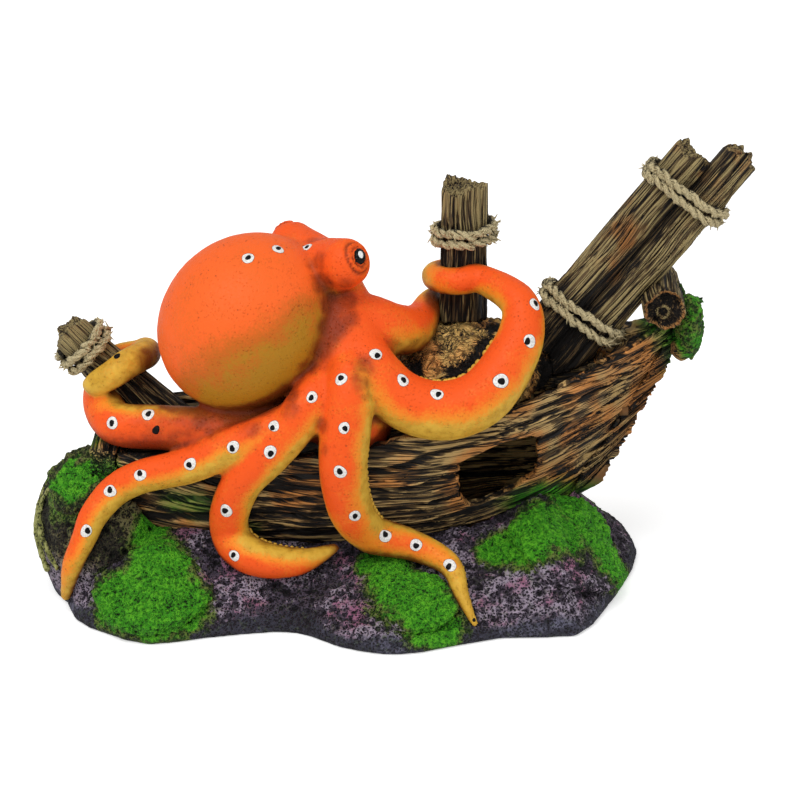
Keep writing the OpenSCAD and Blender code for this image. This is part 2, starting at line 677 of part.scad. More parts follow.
// Everything that the octopus lies on.
module lain_on() {
    boat_solid();
    rock_form();
    outcrop_form();
    heap_form();
    stem_form();
}
module body_form() {
    head_form();
    mantle_form();
}
module arm_stern_coil() color("orangered") cast() difference() {
    stern_coil_form();
    lain_on();
    body_form();
    stump_form();
}
module arm_long_left() color("tomato") cast() difference() {
    arm(long_left_share);
    lain_on();
    body_form();
    stern_coil_form();
}
module arm_hook() color("coral") cast() difference() {
    arm(hook_share);
    lain_on();
    body_form();
    stern_coil_form();
    arm(long_left_share);
}
module arm_long_right() color("orangered") cast() difference() {
    arm(long_right_share);
    lain_on();
    body_form();
    arm(long_left_share);
    arm(hook_share);
}
module arm_mast_coil() color("tomato") cast() difference() {
    mast_coil_form();
    lain_on();
    body_form();
    mast_form();
    arm(long_right_share);
    arm(hook_share);
}
module arm_behind_mast() color("coral") cast() difference() {
    arm(behind_mast_share);
    lain_on();
    body_form();
    mast_form();
    mast_coil_form();
}
module arm_back_left() color("orangered") cast() difference() {
    arm(back_left_share);
    lain_on();
    body_form();
    stern_coil_form();
}
module arm_back_right() color("tomato") cast() difference() {
    arm(back_right_share);
    lain_on();
    body_form();
    arm(back_left_share);
    arm(behind_mast_share);
    mast_coil_form();
    mast_form();
}

// Moss: the skin of the rock made thicker within a patch, round whatever lies on it.
patch_wave_share = 0.12;
module patch(at, size_share, phase) lump(place(at), base_length * size_share, patch_wave_share, 3, phase, 4, 12);
module rock_moss(at, size_share, phase) cast() difference() {
    intersection() {
        rock_form(moss_thickness);
        patch(at, size_share, phase);
    }
    rock_form();
    outcrop_form();
    boat_solid();
    stem_form();
    arm(long_left_share);
    arm(hook_share);
    arm(long_right_share);
}
module moss_front_left() color("limegreen") rock_moss([-0.311, -1.3, 0.127], [0.21, 0.17, 0.17], 20);
module moss_front_middle() color("limegreen") rock_moss([0.128, -1.48, 0.127], [0.14, 0.13, 0.15], 80);
module moss_front_right() color("limegreen") rock_moss([0.4, -0.7, 0.24], [0.227, 0.253, 0.2], 140);
module moss_stern() color("limegreen") cast() difference() {
    intersection() {
        outcrop_form(moss_thickness);
        patch([-0.432, -0.59, 0.437], [0.13, 0.13, 0.13], 0);
    }
    outcrop_form();
    rock_form();
    boat_solid();
    stump_form();
    stern_coil_form();
    arm(long_left_share);
    vine_strands();
}
module bow_patch() patch([0.588, -0.07, 0.944], [0.053, 0.087, 0.113], 40);
module moss_bow() color("limegreen") cast() difference() {
    bow_patch();
    boat_solid();
    stem_form();
    log_form();
    knot_form();
    long_spar_form();
}
// Moss behind the log, placed and sized in shares of the log's diameter.
back_moss_place_share = [0.2, 1.3, -0.24];
back_moss_size_share = [0.955, 1.09, 1.16];
module moss_bow_back() color("limegreen") cast() difference() {
    lump(
        log_end + bow_log_d * back_moss_place_share, bow_log_d * back_moss_size_share, patch_wave_share,
        3, 90, 4, 12
    );
    boat_solid();
    stem_form();
    log_form();
    long_spar_form();
    bow_patch();
}

// Vines: two strands that hang down the end of the outcrop. Angles round and up its side.
vine_angles = [
    [[-60, 62], [-110, 66], [-150, 48], [-165, 28], [-150, 10], [-125, -2]],
    [[-175, 60], [170, 40], [-178, 22], [-165, 6], [-140, -8]]
];
module vine_strands()
    for (strand = vine_angles) {
        path = curve([for (s = strand) outcrop_middle + [
            (outcrop_length / 2 + vine_d * 0.2) * cos(s[1]) * cos(s[0]),
            (outcrop_depth / 2 + vine_d * 0.2) * cos(s[1]) * sin(s[0]),
            (outcrop_height - outcrop_middle[2] + vine_d * 0.2) * sin(s[1])
        ]], 2);
        tube(path, [for (p = path) vine_d / 2], 6, [1, 0, 0]);
    }
module vines() color("olivedrab") cast() difference() {
    vine_strands();
    outcrop_form();
    rock_form();
    boat_solid();
    stern_coil_form();
    arm(long_left_share);
}

rock_base();
stern_outcrop();
hull_near_side();
hull_far_side();
transom();
stem_post();
aft_deck();
foredeck();
timber_heap();
middle_mast_stump();
stern_stump();
short_spar();
long_spar();
bow_log();
bow_knot();
middle_mast_lashing();
stern_stump_lashing();
upper_spar_lashing();
lower_spar_lashing();
octopus_mantle();
octopus_head();
near_eye();
far_eye();
arm_stern_coil();
arm_long_left();
arm_hook();
arm_long_right();
arm_mast_coil();
arm_behind_mast();
arm_back_left();
arm_back_right();
moss_front_left();
moss_front_middle();
moss_front_right();
moss_stern();
moss_bow();
moss_bow_back();
vines();
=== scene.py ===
"""Looks of the aquarium octopus ornament: an octopus sprawled over a broken wooden boat on a mossy rock.

Every shape is in the row frame, in metres: +X to the bow, +Y away from the viewer, +Z up, the floor at zero.
Lengths in the relief functions are in millimetres.
"""

import math

import bmesh
import bpy
import numpy as np
from bpy.props import FloatProperty, FloatVectorProperty, PointerProperty
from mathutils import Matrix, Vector
from mathutils.bvhtree import BVHTree


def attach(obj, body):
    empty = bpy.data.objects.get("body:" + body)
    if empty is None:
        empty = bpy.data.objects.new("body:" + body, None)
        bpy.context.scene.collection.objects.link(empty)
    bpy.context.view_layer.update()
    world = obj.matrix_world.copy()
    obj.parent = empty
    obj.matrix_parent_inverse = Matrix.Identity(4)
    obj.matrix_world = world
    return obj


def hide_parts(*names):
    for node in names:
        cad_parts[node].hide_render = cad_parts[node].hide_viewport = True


bl_info = {
    "name": "Octopus Wreck Ornament",
    "version": (1, 0, 0),
    "blender": (4, 5, 0),
    "location": "3D View > Sidebar > Ornament",
    "description": "Builds a painted resin octopus on a wrecked boat and its studio floor",
    "category": "Object",
}

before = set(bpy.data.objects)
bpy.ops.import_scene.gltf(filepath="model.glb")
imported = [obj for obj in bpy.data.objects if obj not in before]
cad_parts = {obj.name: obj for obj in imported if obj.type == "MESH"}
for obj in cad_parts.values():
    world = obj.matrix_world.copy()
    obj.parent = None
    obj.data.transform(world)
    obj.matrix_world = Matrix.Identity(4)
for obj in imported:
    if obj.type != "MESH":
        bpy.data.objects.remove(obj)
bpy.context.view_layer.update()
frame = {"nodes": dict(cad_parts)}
BODY = "root"
MM = 0.001

# The boat's sizes and curves, as the solids have them, in millimetres.
BOAT_LENGTH = 148.0
BOAT_BEAM = 54.0
BOAT_MIDDLE_Y = 8.0
STERN_X = -62.0
STERN_RAIL = 40.5
BOW_RAIL = 71.0
KEEL = 6.0
FOREFOOT = 18.0
STEM_LEAN = 23.0
PLANKS = 6
# How steeply the rail rises, the keel rises and the stem leans, as powers of the share of the length.
RAIL_POWER = 2.5
KEEL_POWER = 5
STEM_POWER = 3
# Height of the planked side at the stern, and how much it gains by the bow.
STERN_SIDE = 20
SIDE_GAIN = 28
# The port in the near side: its middle, its half sizes and its slope.
PORT_MIDDLE = (39.2, 35.9)
PORT_HALF = (10.6, 7.6)
PORT_SLOPE = 0.226
BOARD_WIDTH = 5.4

# The stumps and spars, in millimetres. Radii are at the foot and at the top.
MAST_FOOT = np.array([31.0, 13.94, 58.22])
MAST_WAY = np.array([0, 0, 1.0])
MAST_LENGTH = 44.78
MAST_RADII = (6.36, 6.0)
STUMP_LEAN = math.radians(42)
STUMP_WAY = np.array([-math.sin(STUMP_LEAN), 0, math.cos(STUMP_LEAN)])
STUMP_LENGTH = 40.0
STUMP_RADII = (8.5, 5.1)
SPAR_RISE = math.radians(52)
SPAR_WAY = np.array([math.cos(SPAR_RISE), 0, math.sin(SPAR_RISE)])
SPAR_SIDE = np.array([math.sin(SPAR_RISE), 0, -math.cos(SPAR_RISE)])
SPAR_LENGTH = 76
SPAR_RADIUS = 5.0
SPAR_HALF_APART = 5.05

# The photograph's camera.
PHOTO_SIZE = 800
VIEW_WIDTH = 0.2
CAMERA_DISTANCE = 0.7
CAMERA_ELEVATION = math.radians(22)
CAMERA_TARGET = Vector((0.015, 0.0, 0.0497))
SENSOR_WIDTH = 36


# Settings.

def colour(name, description, default):
    return FloatVectorProperty(
        name=name, description=description, subtype="COLOR", size=3, min=0, max=1, default=default
    )


def length(name, description, default):
    return FloatProperty(
        name=name, description=description, default=default, min=0, subtype="DISTANCE", unit="LENGTH"
    )


def amount(name, description, default):
    return FloatProperty(name=name, description=description, default=default, min=0)


class OctopusSettings(bpy.types.PropertyGroup):
    orange: colour("Orange", "Sprayed coat on the back of the arms", (0.9, 0.1, 0.01))
    pale_orange: colour("Pale orange", "Sprayed coat on the mantle", (0.93, 0.135, 0.018))
    yellow: colour("Yellow", "Base coat along the undersides of the arms", (0.72, 0.43, 0.05))
    ochre: colour("Ochre", "Base coat under the mantle", (0.43, 0.2, 0.01))
    # Brown wash and painted shade: the colour laid where other surfaces hide the sky, in hollows and under
    # the stern arm.
    wash_and_shade: colour("Wash", "Thin brown wash where the arms meet", (0.17, 0.022, 0.005))
    # Painted shade: the dark colour in the hollows and the eyelids' grooves, which the small specks share.
    crease_shade: colour("Crease", "Dark wash in the creases", (0.07, 0.01, 0.005))
    skin_voxel: length("Skin detail", "Size of the skin's mesh", 0.00058)
    spot_radius: length("Spot radius", "Radius of a painted white spot", 0.00185)
    pupil_radius: length("Pupil radius", "Radius of the black dot in a spot", 0.00092)
    sucker_radius: length("Sucker radius", "Radius of the largest suckers", 0.00078)
    eye_radius: length("Eye radius", "Radius of the eyes across", 0.00175)
    eye_height: length("Eye height", "How far the eyes stand out", 0.0009)
    glint_radius: length("Glint radius", "Radius of the white glint in an eye", 0.0009)


class TimberSettings(bpy.types.PropertyGroup):
    dark: colour("Recesses", "Dark wash between the planks", (0.007, 0.005, 0.004))
    brown: colour("Weathered wood", "Body colour of the planks and bark", (0.11, 0.07, 0.03))
    ochre: colour("Dry brushing", "Light ochre on the ridges", (0.42, 0.28, 0.11))
    bark: colour("Bark", "Grey ochre on the ridges of the stumps and spars", (0.38, 0.29, 0.125))
    orange: colour("Bare wood", "Orange tint where the wood is split", (0.46, 0.19, 0.05))
    hull_voxel: length("Hull detail", "Size of the near side's mesh", 0.00044)
    deck_voxel: length("Deck detail", "Size of the decks' mesh", 0.0007)
    bark_voxel: length("Bark detail", "Size of the stumps' and spars' mesh", 0.0004)
    heap_voxel: length("Heap detail", "Size of the heap's mesh", 0.0005)
    plank_groove: length("Plank groove", "Depth of the gap between two planks", 0.0011)
    grain_depth: length("Grain depth", "Depth of the carved grain on the planks", 0.0007)
    bark_depth: length("Bark depth", "Depth of the flutes on the stumps and spars", 0.0006)
    rope: colour("Twine", "Pale twine of the lashings", (0.36, 0.3, 0.17))
    strand_radius: length("Strand radius", "Radius of one strand of twine", 0.00068)


class RockSettings(bpy.types.PropertyGroup):
    dark: colour("Pores", "Dark pores of the rock", (0.012, 0.009, 0.013))
    stone: colour("Stone", "Grey and purple body of the rock", (0.075, 0.058, 0.085))
    lilac: colour("Lilac", "Dry brushing on the rock", (0.4, 0.33, 0.42))
    pink: colour("Pink", "Pink patches", (0.36, 0.09, 0.2))
    blue: colour("Blue grey", "Blue grey of the lower rim", (0.085, 0.082, 0.12))
    moss: colour("Moss", "Bright green of the moss", (0.045, 0.29, 0.008))
    moss_dark: colour("Moss shade", "Dark green between the tufts", (0.008, 0.03, 0.003))
    vine: colour("Vine", "Olive green of the vines", (0.17, 0.18, 0.045))
    rock_voxel: length("Rock detail", "Size of the rock's mesh", 0.0006)
    pore_depth: length("Pore depth", "Depth of the pores in the rock", 0.0008)
    tuft_height: length("Tuft height", "Height of the tufts of moss", 0.0006)
    moss_voxel: length("Moss detail", "Size of the moss's mesh", 0.00045)
    vine_voxel: length("Vine detail", "Size of the vines' mesh", 0.00028)
    vine_depth: length("Vine relief", "Depth of the wrinkles in the vines", 0.00016)


class StageSettings(bpy.types.PropertyGroup):
    floor: colour("Floor", "Pale studio floor", (0.93, 0.93, 0.93))
    floor_half: length("Floor", "Half the width of the floor", 3.0)
    floor_glow: amount("Floor glow", "Light added to the floor in view", 0.42)
    key_watts: amount("Key light", "Power of the large soft lamp", 52)
    fill_watts: amount("Fill light", "Power of the opposite lamp", 9)
    world_strength: amount("Sky", "Strength of the white surround", 0.5)


# Numbers: noise, meshes and the way to the surface.

LATTICE_SIZE = 256
CELL_POINTS = 4096
CELL_STEPS = (73, 179, 283)
# A direction that none of the timbers or splinters follows.
OFF_AXIS = (0.31, 0.87, 0.23)


def unit(v):
    v = np.asarray(v, float)
    return v / np.linalg.norm(v)


def dots(a, b):
    """The dot product of each row of a with the same row of b."""
    return np.einsum("ij,ij->i", a, b)


def step(low, high, values):
    """Eases from 0 at low to 1 at high."""
    share = np.clip((values - low) / (high - low), 0, 1)
    return share * share * (3 - 2 * share)


def noise(points, seed=0):
    """Smooth gradient noise from about -1 to 1 at each row of three numbers."""
    rng = np.random.default_rng(seed)
    directions = rng.normal(size=(LATTICE_SIZE, 3))
    directions /= np.linalg.norm(directions, axis=1)[:, None]
    order = rng.permutation(LATTICE_SIZE)
    last = LATTICE_SIZE - 1
    cell = np.floor(points).astype(int)
    part = points - cell
    ease = part * part * part * (part * (part * 6 - 15) + 10)
    total = np.zeros(len(points))
    for corner in np.ndindex(2, 2, 2):
        at = (cell + corner) & last
        pick = order[(order[(order[at[:, 0]] + at[:, 1]) & last] + at[:, 2]) & last]
        weight = np.prod(np.where(corner, ease, 1 - ease), axis=1)
        total += weight * dots(directions[pick], part - corner)
    return 1.6 * total


def fractal(points, octaves, seed=0):
    """Noise at several sizes, each half the one before."""
    return sum(
        0.5 ** octave * noise(points * 2 ** octave, seed + octave) for octave in range(octaves)
    ) / 1.6


def grain_noise(along, cross, long, wide, seed):
    """Noise that is drawn out along the grain. Long and wide are the size of its lumps in millimetres."""
    return noise(np.column_stack([along / long, cross / wide]), seed)


def near_cells(points, offsets):
    """For each unit cell round the points: which random point it holds, and the squared distance to that."""
    cell = np.floor(points).astype(int)
    for corner in np.ndindex(3, 3, 3):
        at = cell + corner - 1
        pick = at @ CELL_STEPS & (len(offsets) - 1)
        away = at + offsets[pick] - points
        yield pick, dots(away, away)


def pores(points, seed=0):
    """Distance to the nearest of one random point in each unit cell."""
    offsets = np.random.default_rng(seed).random((CELL_POINTS, 3))
    return np.sqrt(np.min([distance for _, distance in near_cells(points, offsets)], axis=0))


def chips(points, size, seed):
    """Coordinates along and across splinters that lie each its own way, and the distance to its middle."""
    rng = np.random.default_rng(seed)
    offsets = rng.random((CELL_POINTS, 3))
    ways = rng.normal(size=(CELL_POINTS, 3)) * (1, 0.7, 0.6)
    ways /= np.linalg.norm(ways, axis=1)[:, None]
    nearest = np.full(len(points), np.inf)
    chosen = np.zeros(len(points), int)
    for pick, distance in near_cells(points / size, offsets):
        nearer = distance < nearest
        nearest[nearer] = distance[nearer]
        chosen[nearer] = pick[nearer]
    way = ways[chosen]
    side = np.cross(way, OFF_AXIS)
    side /= np.linalg.norm(side, axis=1)[:, None]
    cross = np.column_stack([dots(points, side), dots(points, np.cross(way, side))])
    return dots(points, way), cross + 7.0 * way[:, :2], np.sqrt(nearest)


def side_frame(way):
    """Two directions across a way, as columns."""
    side = unit(np.cross(way, OFF_AXIS))
    return np.column_stack([side, np.cross(way, side)])


def coordinates(piece):
    """The piece's points, in millimetres."""
    co = np.empty(len(piece.data.vertices) * 3, np.float32)
    piece.data.vertices.foreach_get("co", co)
    return co.reshape(-1, 3).astype(float) / MM


def put_coordinates(piece, points):
    piece.data.vertices.foreach_set("co", (points * MM).astype(np.float32).ravel())
    piece.data.update()


def normals(piece):
    out = np.empty(len(piece.data.vertices) * 3, np.float32)
    piece.data.vertex_normals.foreach_get("vector", out)
    return out.reshape(-1, 3).astype(float)


def smoothed(piece, values, rounds):
    """Each point's values moved to the middle of its neighbours' values, a number of times."""
    edges = np.empty(len(piece.data.edges) * 2, np.int32)
    piece.data.edges.foreach_get("vertices", edges)
    first, second = edges.reshape(-1, 2).T
    count = np.bincount(first, minlength=len(values)) + np.bincount(second, minlength=len(values))
    count = np.maximum(count, 1)
    for _ in range(rounds):
        total = np.empty_like(values)
        for axis in range(values.shape[1]):
            total[:, axis] = np.bincount(first, values[second, axis], len(values))
            total[:, axis] += np.bincount(second, values[first, axis], len(values))
        values = 0.4 * values + 0.6 * total / count[:, None]
    return values


def eased(piece, rounds):
    """Smooths a piece and gives its points."""
    points = smoothed(piece, coordinates(piece), rounds)
    put_coordinates(piece, points)
    return points


def store(piece, name, values):
    """Keeps a number for each point, for the paint."""
    layer = piece.data.attributes.new(name, "FLOAT", "POINT")
    layer.data.foreach_set("value", np.broadcast_to(values, len(piece.data.vertices)).astype(np.float32))


def store_vectors(piece, name, rows):
    """Keeps three numbers for each point, for the paint or for geometry nodes."""
    layer = piece.data.attributes.new(name, "FLOAT_VECTOR", "POINT")
    layer.data.foreach_set("vector", np.array(rows, np.float32).ravel())


def carve(piece, relief, depth):
    """Moves the surface by the relief, in millimetres, and keeps it for the paint."""
    put_coordinates(piece, coordinates(piece) + normals(piece) * (depth * relief)[:, None])
    store(piece, "relief", relief)


def add_object(name, mesh):
    piece = bpy.data.objects.new(name, mesh)
    bpy.context.scene.collection.objects.link(piece)
    return piece


def mesh_object(name, points, faces):
    """An object from points in millimetres."""
    mesh = bpy.data.meshes.new(name)
    mesh.from_pydata([tuple(p) for p in np.asarray(points) * MM], [], faces)
    mesh.update()
    return add_object(name, mesh)


def joined(name, parts):
    """One mesh object from several sets of points and faces."""
    points, faces, start = [], [], 0
    for part_points, part_faces in parts:
        points.append(part_points)
        faces += [tuple(i + start for i in face) for face in part_faces]
        start += len(part_points)
    return mesh_object(name, np.concatenate(points), faces)


def shade_smooth(piece):
    piece.data.polygons.foreach_set("use_smooth", [True] * len(piece.data.polygons))


def applied(piece):
    """The piece with its modifiers worked into its mesh."""
    bpy.context.view_layer.update()
    depsgraph = bpy.context.evaluated_depsgraph_get()
    mesh = bpy.data.meshes.new_from_object(piece.evaluated_get(depsgraph), depsgraph=depsgraph)
    old = piece.data
    piece.modifiers.clear()
    piece.data = mesh
    mesh.name = piece.name
    bpy.data.meshes.remove(old)
    return piece


def remesh(piece, voxel):
    modifier = piece.modifiers.new("Voxels", "REMESH")
    modifier.mode = "VOXEL"
    modifier.voxel_size = voxel
    applied(piece)
    shade_smooth(piece)
    return piece


def node_mesh(nodes):
    """The solids of some nodes in one editable mesh."""
    bm = bmesh.new()
    for name in nodes:
        bm.from_mesh(frame["nodes"][name].data)
    return bm


def copy_of(name, nodes, voxel):
    """One fine closed mesh round the nodes named."""
    bm = node_mesh(nodes)
    bmesh.ops.remove_doubles(bm, verts=bm.verts, dist=0.01 * MM)
    mesh = bpy.data.meshes.new(name)
    bm.to_mesh(mesh)
    bm.free()
    return remesh(add_object(name, mesh), voxel)


def tree_of(bm):
    tree = BVHTree.FromBMesh(bm)
    bm.free()
    return tree


def node_tree_of(nodes):
    """Search tree of the surface of some nodes."""
    return tree_of(node_mesh(nodes))


def surface_tree(piece):
    """Search tree of a piece's surface."""
    bm = bmesh.new()
    bm.from_mesh(piece.data)
    return tree_of(bm)


def settle(piece, slot, material, *nodes):
    """Gives a piece its finish and ties it to the casting."""
    piece.data.materials.clear()
    piece.data.materials.append(material)
    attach(piece, BODY)
    if nodes:
        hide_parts(*nodes)


# The octopus's routes, in the shares that the solids use.

LONG_LEFT = [
    (0.01, -0.6, 0.86, 0.88), (-0.055, -0.98, 0.75, 0.79), (-0.106, -1.06, 0.705, 0.67),
    (-0.174, -1.05, 0.645, 0.65), (-0.246, -1, 0.565, 0.6), (-0.325, -0.9, 0.508, 0.57),
    (-0.374, -0.87, 0.45, 0.54), (-0.41, -0.97, 0.37, 0.48), (-0.427, -1.03, 0.29, 0.42),
    (-0.447, -1.09, 0.2, 0.35), (-0.463, -0.98, 0.06, 0.18),
]
HOOK = [
    (0.012, -0.65, 0.88, 0.82), (-0.04, -1, 0.81, 0.76), (-0.08, -1.1, 0.71, 0.73),
    (-0.113, -1.11, 0.63, 0.73), (-0.158, -1.08, 0.52, 0.68), (-0.181, -1.01, 0.4, 0.66),
    (-0.184, -0.96, 0.315, 0.65), (-0.17, -1.03, 0.26, 0.65), (-0.13, -1.1, 0.225, 0.62),
    (-0.066, -1.09, 0.215, 0.46), (-0.008, -0.97, 0.245, 0.17),
]
LONG_RIGHT = [
    (0.018, -0.6, 0.94, 0.82), (0.02, -1, 0.86, 0.84), (0.012, -1.14, 0.72, 0.84),
    (0.008, -1.18, 0.57, 0.79), (0.02, -1.09, 0.41, 0.74), (0.048, -0.96, 0.305, 0.67),
    (0.077, -0.92, 0.275, 0.62), (0.13, -0.97, 0.25, 0.51), (0.185, -1.15, 0.21, 0.4),
    (0.204, -1.4, 0.14, 0.26), (0.225, -1.61, 0.07, 0.13),
]
MAST_ARM = [
    (0.018, -0.4, 0.98, 0.82), (0.045, -0.78, 0.915, 0.88), (0.1, -0.9, 0.8, 0.94),
    (0.167, -0.92, 0.755, 0.98), (0.23, -0.86, 0.785, 0.95), (0.274, -0.7, 0.87, 0.88),
    (0.303, -0.52, 0.985, 0.77), (0.296, -0.32, 1.075, 0.62),
]
MAST_TURNS = [
    (-60, 0.21, 0.48), (-92, 0.16, 0.47), (-130, 0.09, 0.46), (-175, 0, 0.45), (-220, -0.09, 0.43),
    (-262, -0.12, 0.37), (-300, -0.13, 0.26), (-325, -0.13, 0.13),
]
BEHIND_MAST = [
    (0.012, -0.4, 1.04, 0.76), (0.052, -0.44, 1.02, 0.84), (0.088, -0.38, 0.98, 0.86),
    (0.117, -0.22, 0.955, 0.8), (0.138, 0.04, 0.96, 0.6), (0.153, 0.35, 0.98, 0.42),
    (0.17, 0.7, 0.95, 0.32), (0.2, 0.95, 0.88, 0.16),
]
STERN_ARM = [
    (0.01, -0.5, 0.8, 0.7), (-0.06, -0.72, 0.69, 0.76), (-0.145, -0.8, 0.665, 0.76),
    (-0.23, -0.76, 0.66, 0.76), (-0.312, -0.63, 0.65, 0.75), (-0.37, -0.56, 0.65, 0.73),
    (-0.398, -0.34, 0.68, 0.69), (-0.402, -0.05, 0.72, 0.64), (-0.386, 0.2, 0.768, 0.58),
]
STERN_TURNS = [
    (-35, -0.4, 0.54), (-65, -0.35, 0.52), (-95, -0.23, 0.5), (-130, 0.05, 0.5),
    (-165, 0.22, 0.48), (-195, 0.34, 0.4), (-215, 0.42, 0.22),
]
BACK_LEFT = [
    (0.005, -0.4, 0.82, 0.79), (-0.02, 0.1, 0.75, 0.79), (-0.055, 0.6, 0.68, 0.73),
    (-0.095, 1, 0.65, 0.67), (-0.12, 1.14, 0.53, 0.65), (-0.13, 1.12, 0.38, 0.59),
    (-0.16, 1.12, 0.26, 0.47), (-0.22, 1.14, 0.2, 0.32), (-0.27, 1.05, 0.21, 0.15),
]
BACK_RIGHT = [
    (0.02, -0.35, 0.84, 0.79), (0.05, 0.1, 0.76, 0.79), (0.07, 0.6, 0.69, 0.76),
    (0.075, 1.02, 0.66, 0.7), (0.08, 1.17, 0.53, 0.65), (0.095, 1.12, 0.38, 0.59),
    (0.135, 1.02, 0.27, 0.47), (0.2, 1.03, 0.21, 0.32), (0.25, 1.12, 0.17, 0.15),
]
NECK = [(-0.01, -0.3, 1.07), (0.01, -0.48, 0.944), (0.017, -0.63, 0.803), (0.017, -0.55, 0.62)]
NECK_RADII = (8.84, 11.5, 11.5, 10.35)
ARM_RADIUS = 7.5
ARM_TABLES = {
    "stern": STERN_ARM, "left": LONG_LEFT, "hook": HOOK, "right": LONG_RIGHT, "mast": MAST_ARM,
    "behind": BEHIND_MAST, "back_left": BACK_LEFT, "back_right": BACK_RIGHT,
}
ROUTE_STEPS = 6
# Shares of the stern stump's and the mast's length where their coils are, and how closely they hold.
STERN_COIL_AT = 0.575
STERN_HOLD = 0.94
MAST_COIL_AT = 0.436
MAST_HOLD = 0.36
# How each arm is painted: the side that the orange was sprayed on, near the body and near the tip, how far
# the spray keeps off the edge at both, the share of the length where yellow begins and the orange left there.
ARM_PAINT = {
    "stern": ((-0.3, -0.88, -0.15), (-0.5, -0.8, 0.1), -0.12, -0.12, 0.52, 0),
    "left": ((-0.35, -0.1, 0.93), (-0.75, -0.3, 0.5), -0.12, -0.12, 0.74, 0),
    "hook": ((-0.7, -0.6, 0.4), (-0.3, -0.7, -0.6), -0.12, -0.12, 0.82, 0),
    "right": ((-0.4, -0.88, 0.25), (0.05, -0.93, 0.36), 0, 0.33, 0.66, 0),
    "mast": ((0, -0.3, 0.9), (0.25, -0.8, 0.5), -0.12, -0.12, 0.55, 0.62),
    "behind": ((0, -0.4, 0.9), (0, 0, 1), -0.12, -0.12, 0.45, 0),
    "back_left": ((0, 0.5, 0.86), (0, 0.8, 0.6), -0.12, -0.12, 0.65, 0),
    "back_right": ((0, 0.5, 0.86), (0, 0.8, 0.6), -0.12, -0.12, 0.65, 0),
}
BROW_RADIUS = 8.5
EYE_MOUND_RADIUS = 6.2
MANTLE_RADII = (23.25, 20.75, 20.75)
MANTLE_MIDDLE = (-0.1525, -0.444, 1.015)
MANTLE_TURN = math.radians(15)
MANTLE_TILT = math.radians(42)
MANTLE_UNDERSIDE = (0.513, -0.32, -0.79)
NEAR_EYE = (0.011, -0.57, 1.245)
FAR_EYE = (-0.078, 0.12, 1.218)
NEAR_GAZE = (0.6, -0.6, 0.5)
FAR_GAZE = (-0.39, 0.76, 0.5)


def place(share):
    """A point in millimetres from shares of the boat's length, half beam and height."""
    return np.array([
        share[0] * BOAT_LENGTH, BOAT_MIDDLE_Y + share[1] * BOAT_BEAM / 2, share[2] * BOW_RAIL
    ])


STUMP_FOOT = place((-0.464, -0.11, 0.953)) - STUMP_LENGTH * STUMP_WAY
SPARS_FOOT = place((0.2749, 0, 0.7455)) + SPAR_HALF_APART * SPAR_SIDE


def timber_radius(radii, share):
    """Radius of a stump at a share of its height."""
    return radii[1] + (radii[0] - radii[1]) * (1 - share) ** 1.5


def coil(middle, way, side, timber, turns, hold):
    """The rows of an arm that winds round a timber."""
    across = np.cross(way, side)
    rows = []
    for angle, along, girth in turns:
        a = math.radians(angle)
        out = math.cos(a) * np.array(side) + math.sin(a) * across
        reach = timber + hold * girth * ARM_RADIUS
        rows.append(np.array([*(middle + along * ARM_RADIUS * way + reach * out), girth * ARM_RADIUS]))
    return rows


def spline(rows, steps):
    """A smooth curve through rows of numbers."""
    rows = np.asarray(rows, float)
    last = len(rows) - 1
    out = []
    for i in range(last):
        a, b, c, d = rows[max(i - 1, 0)], rows[i], rows[i + 1], rows[min(i + 2, last)]
        for t in np.arange(steps) / steps:
            bend = (2 * a - 5 * b + 4 * c - d) * t ** 2 + (3 * b - a - 3 * c + d) * t ** 3
            out.append((2 * b + (c - a) * t + bend) / 2)
    out.append(rows[last])
    return np.array(out)


def routes():
    """Each arm's curve, as rows of x, y, z and radius."""
    coils = {
        "stern": coil(
            STUMP_FOOT + STERN_COIL_AT * STUMP_LENGTH * STUMP_WAY, STUMP_WAY, (0, 1, 0),
            timber_radius(STUMP_RADII, STERN_COIL_AT), STERN_TURNS, STERN_HOLD
        ),
        "mast": coil(
            MAST_FOOT + MAST_COIL_AT * MAST_LENGTH * MAST_WAY, MAST_WAY, (1, 0, 0),
            timber_radius(MAST_RADII, MAST_COIL_AT), MAST_TURNS, MAST_HOLD
        ),
    }
    return {
        name: spline([[*place(row), row[3] * ARM_RADIUS] for row in table] + coils.get(name, []), ROUTE_STEPS)
        for name, table in ARM_TABLES.items()
    }


def brow_middle():
    return (place(NEAR_EYE) + place(FAR_EYE)) / 2 - np.array([0, 0, BROW_RADIUS / 2])


def mantle_turn():
    c, s = math.cos(-MANTLE_TILT), math.sin(-MANTLE_TILT)
    tilt = np.array([[c, 0, s], [0, 1, 0], [-s, 0, c]])
    c, s = math.cos(MANTLE_TURN), math.sin(MANTLE_TURN)
    return np.array([[c, -s, 0], [s, c, 0], [0, 0, 1]]) @ tilt


# Tubes and balls, as points and faces.

def tube_faces(rings, sides, closed=True):
    faces = []
    for i in range(rings - 1):
        for j in range(sides):
            k = (j + 1) % sides
            faces.append((i * sides + j, i * sides + k, (i + 1) * sides + k, (i + 1) * sides + j))
    if closed:
        faces.append(tuple(range(sides))[::-1])
        faces.append(tuple(range((rings - 1) * sides, rings * sides)))
    return faces


def carried_frames(path, start):
    """A tangent and two directions across the path, with as little turning as can be."""
    tangents = np.gradient(path, axis=0)
    tangents /= np.linalg.norm(tangents, axis=1)[:, None]
    across = []
    v = np.asarray(start, float)
    for t in tangents:
        v = unit(v - v.dot(t) * t)
        across.append(v)
    across = np.array(across)
    return tangents, across, np.cross(tangents, across)


def tube(path, radii, sides, start=(0, 0, 1)):
    _, v, w = carried_frames(path, start)
    angles = np.linspace(0, 2 * math.pi, sides, endpoint=False)[:, None]
    rings = [p + r * (np.cos(angles) * a + np.sin(angles) * b) for p, r, a, b in zip(path, radii, v, w)]
    return np.concatenate(rings), tube_faces(len(path), sides)


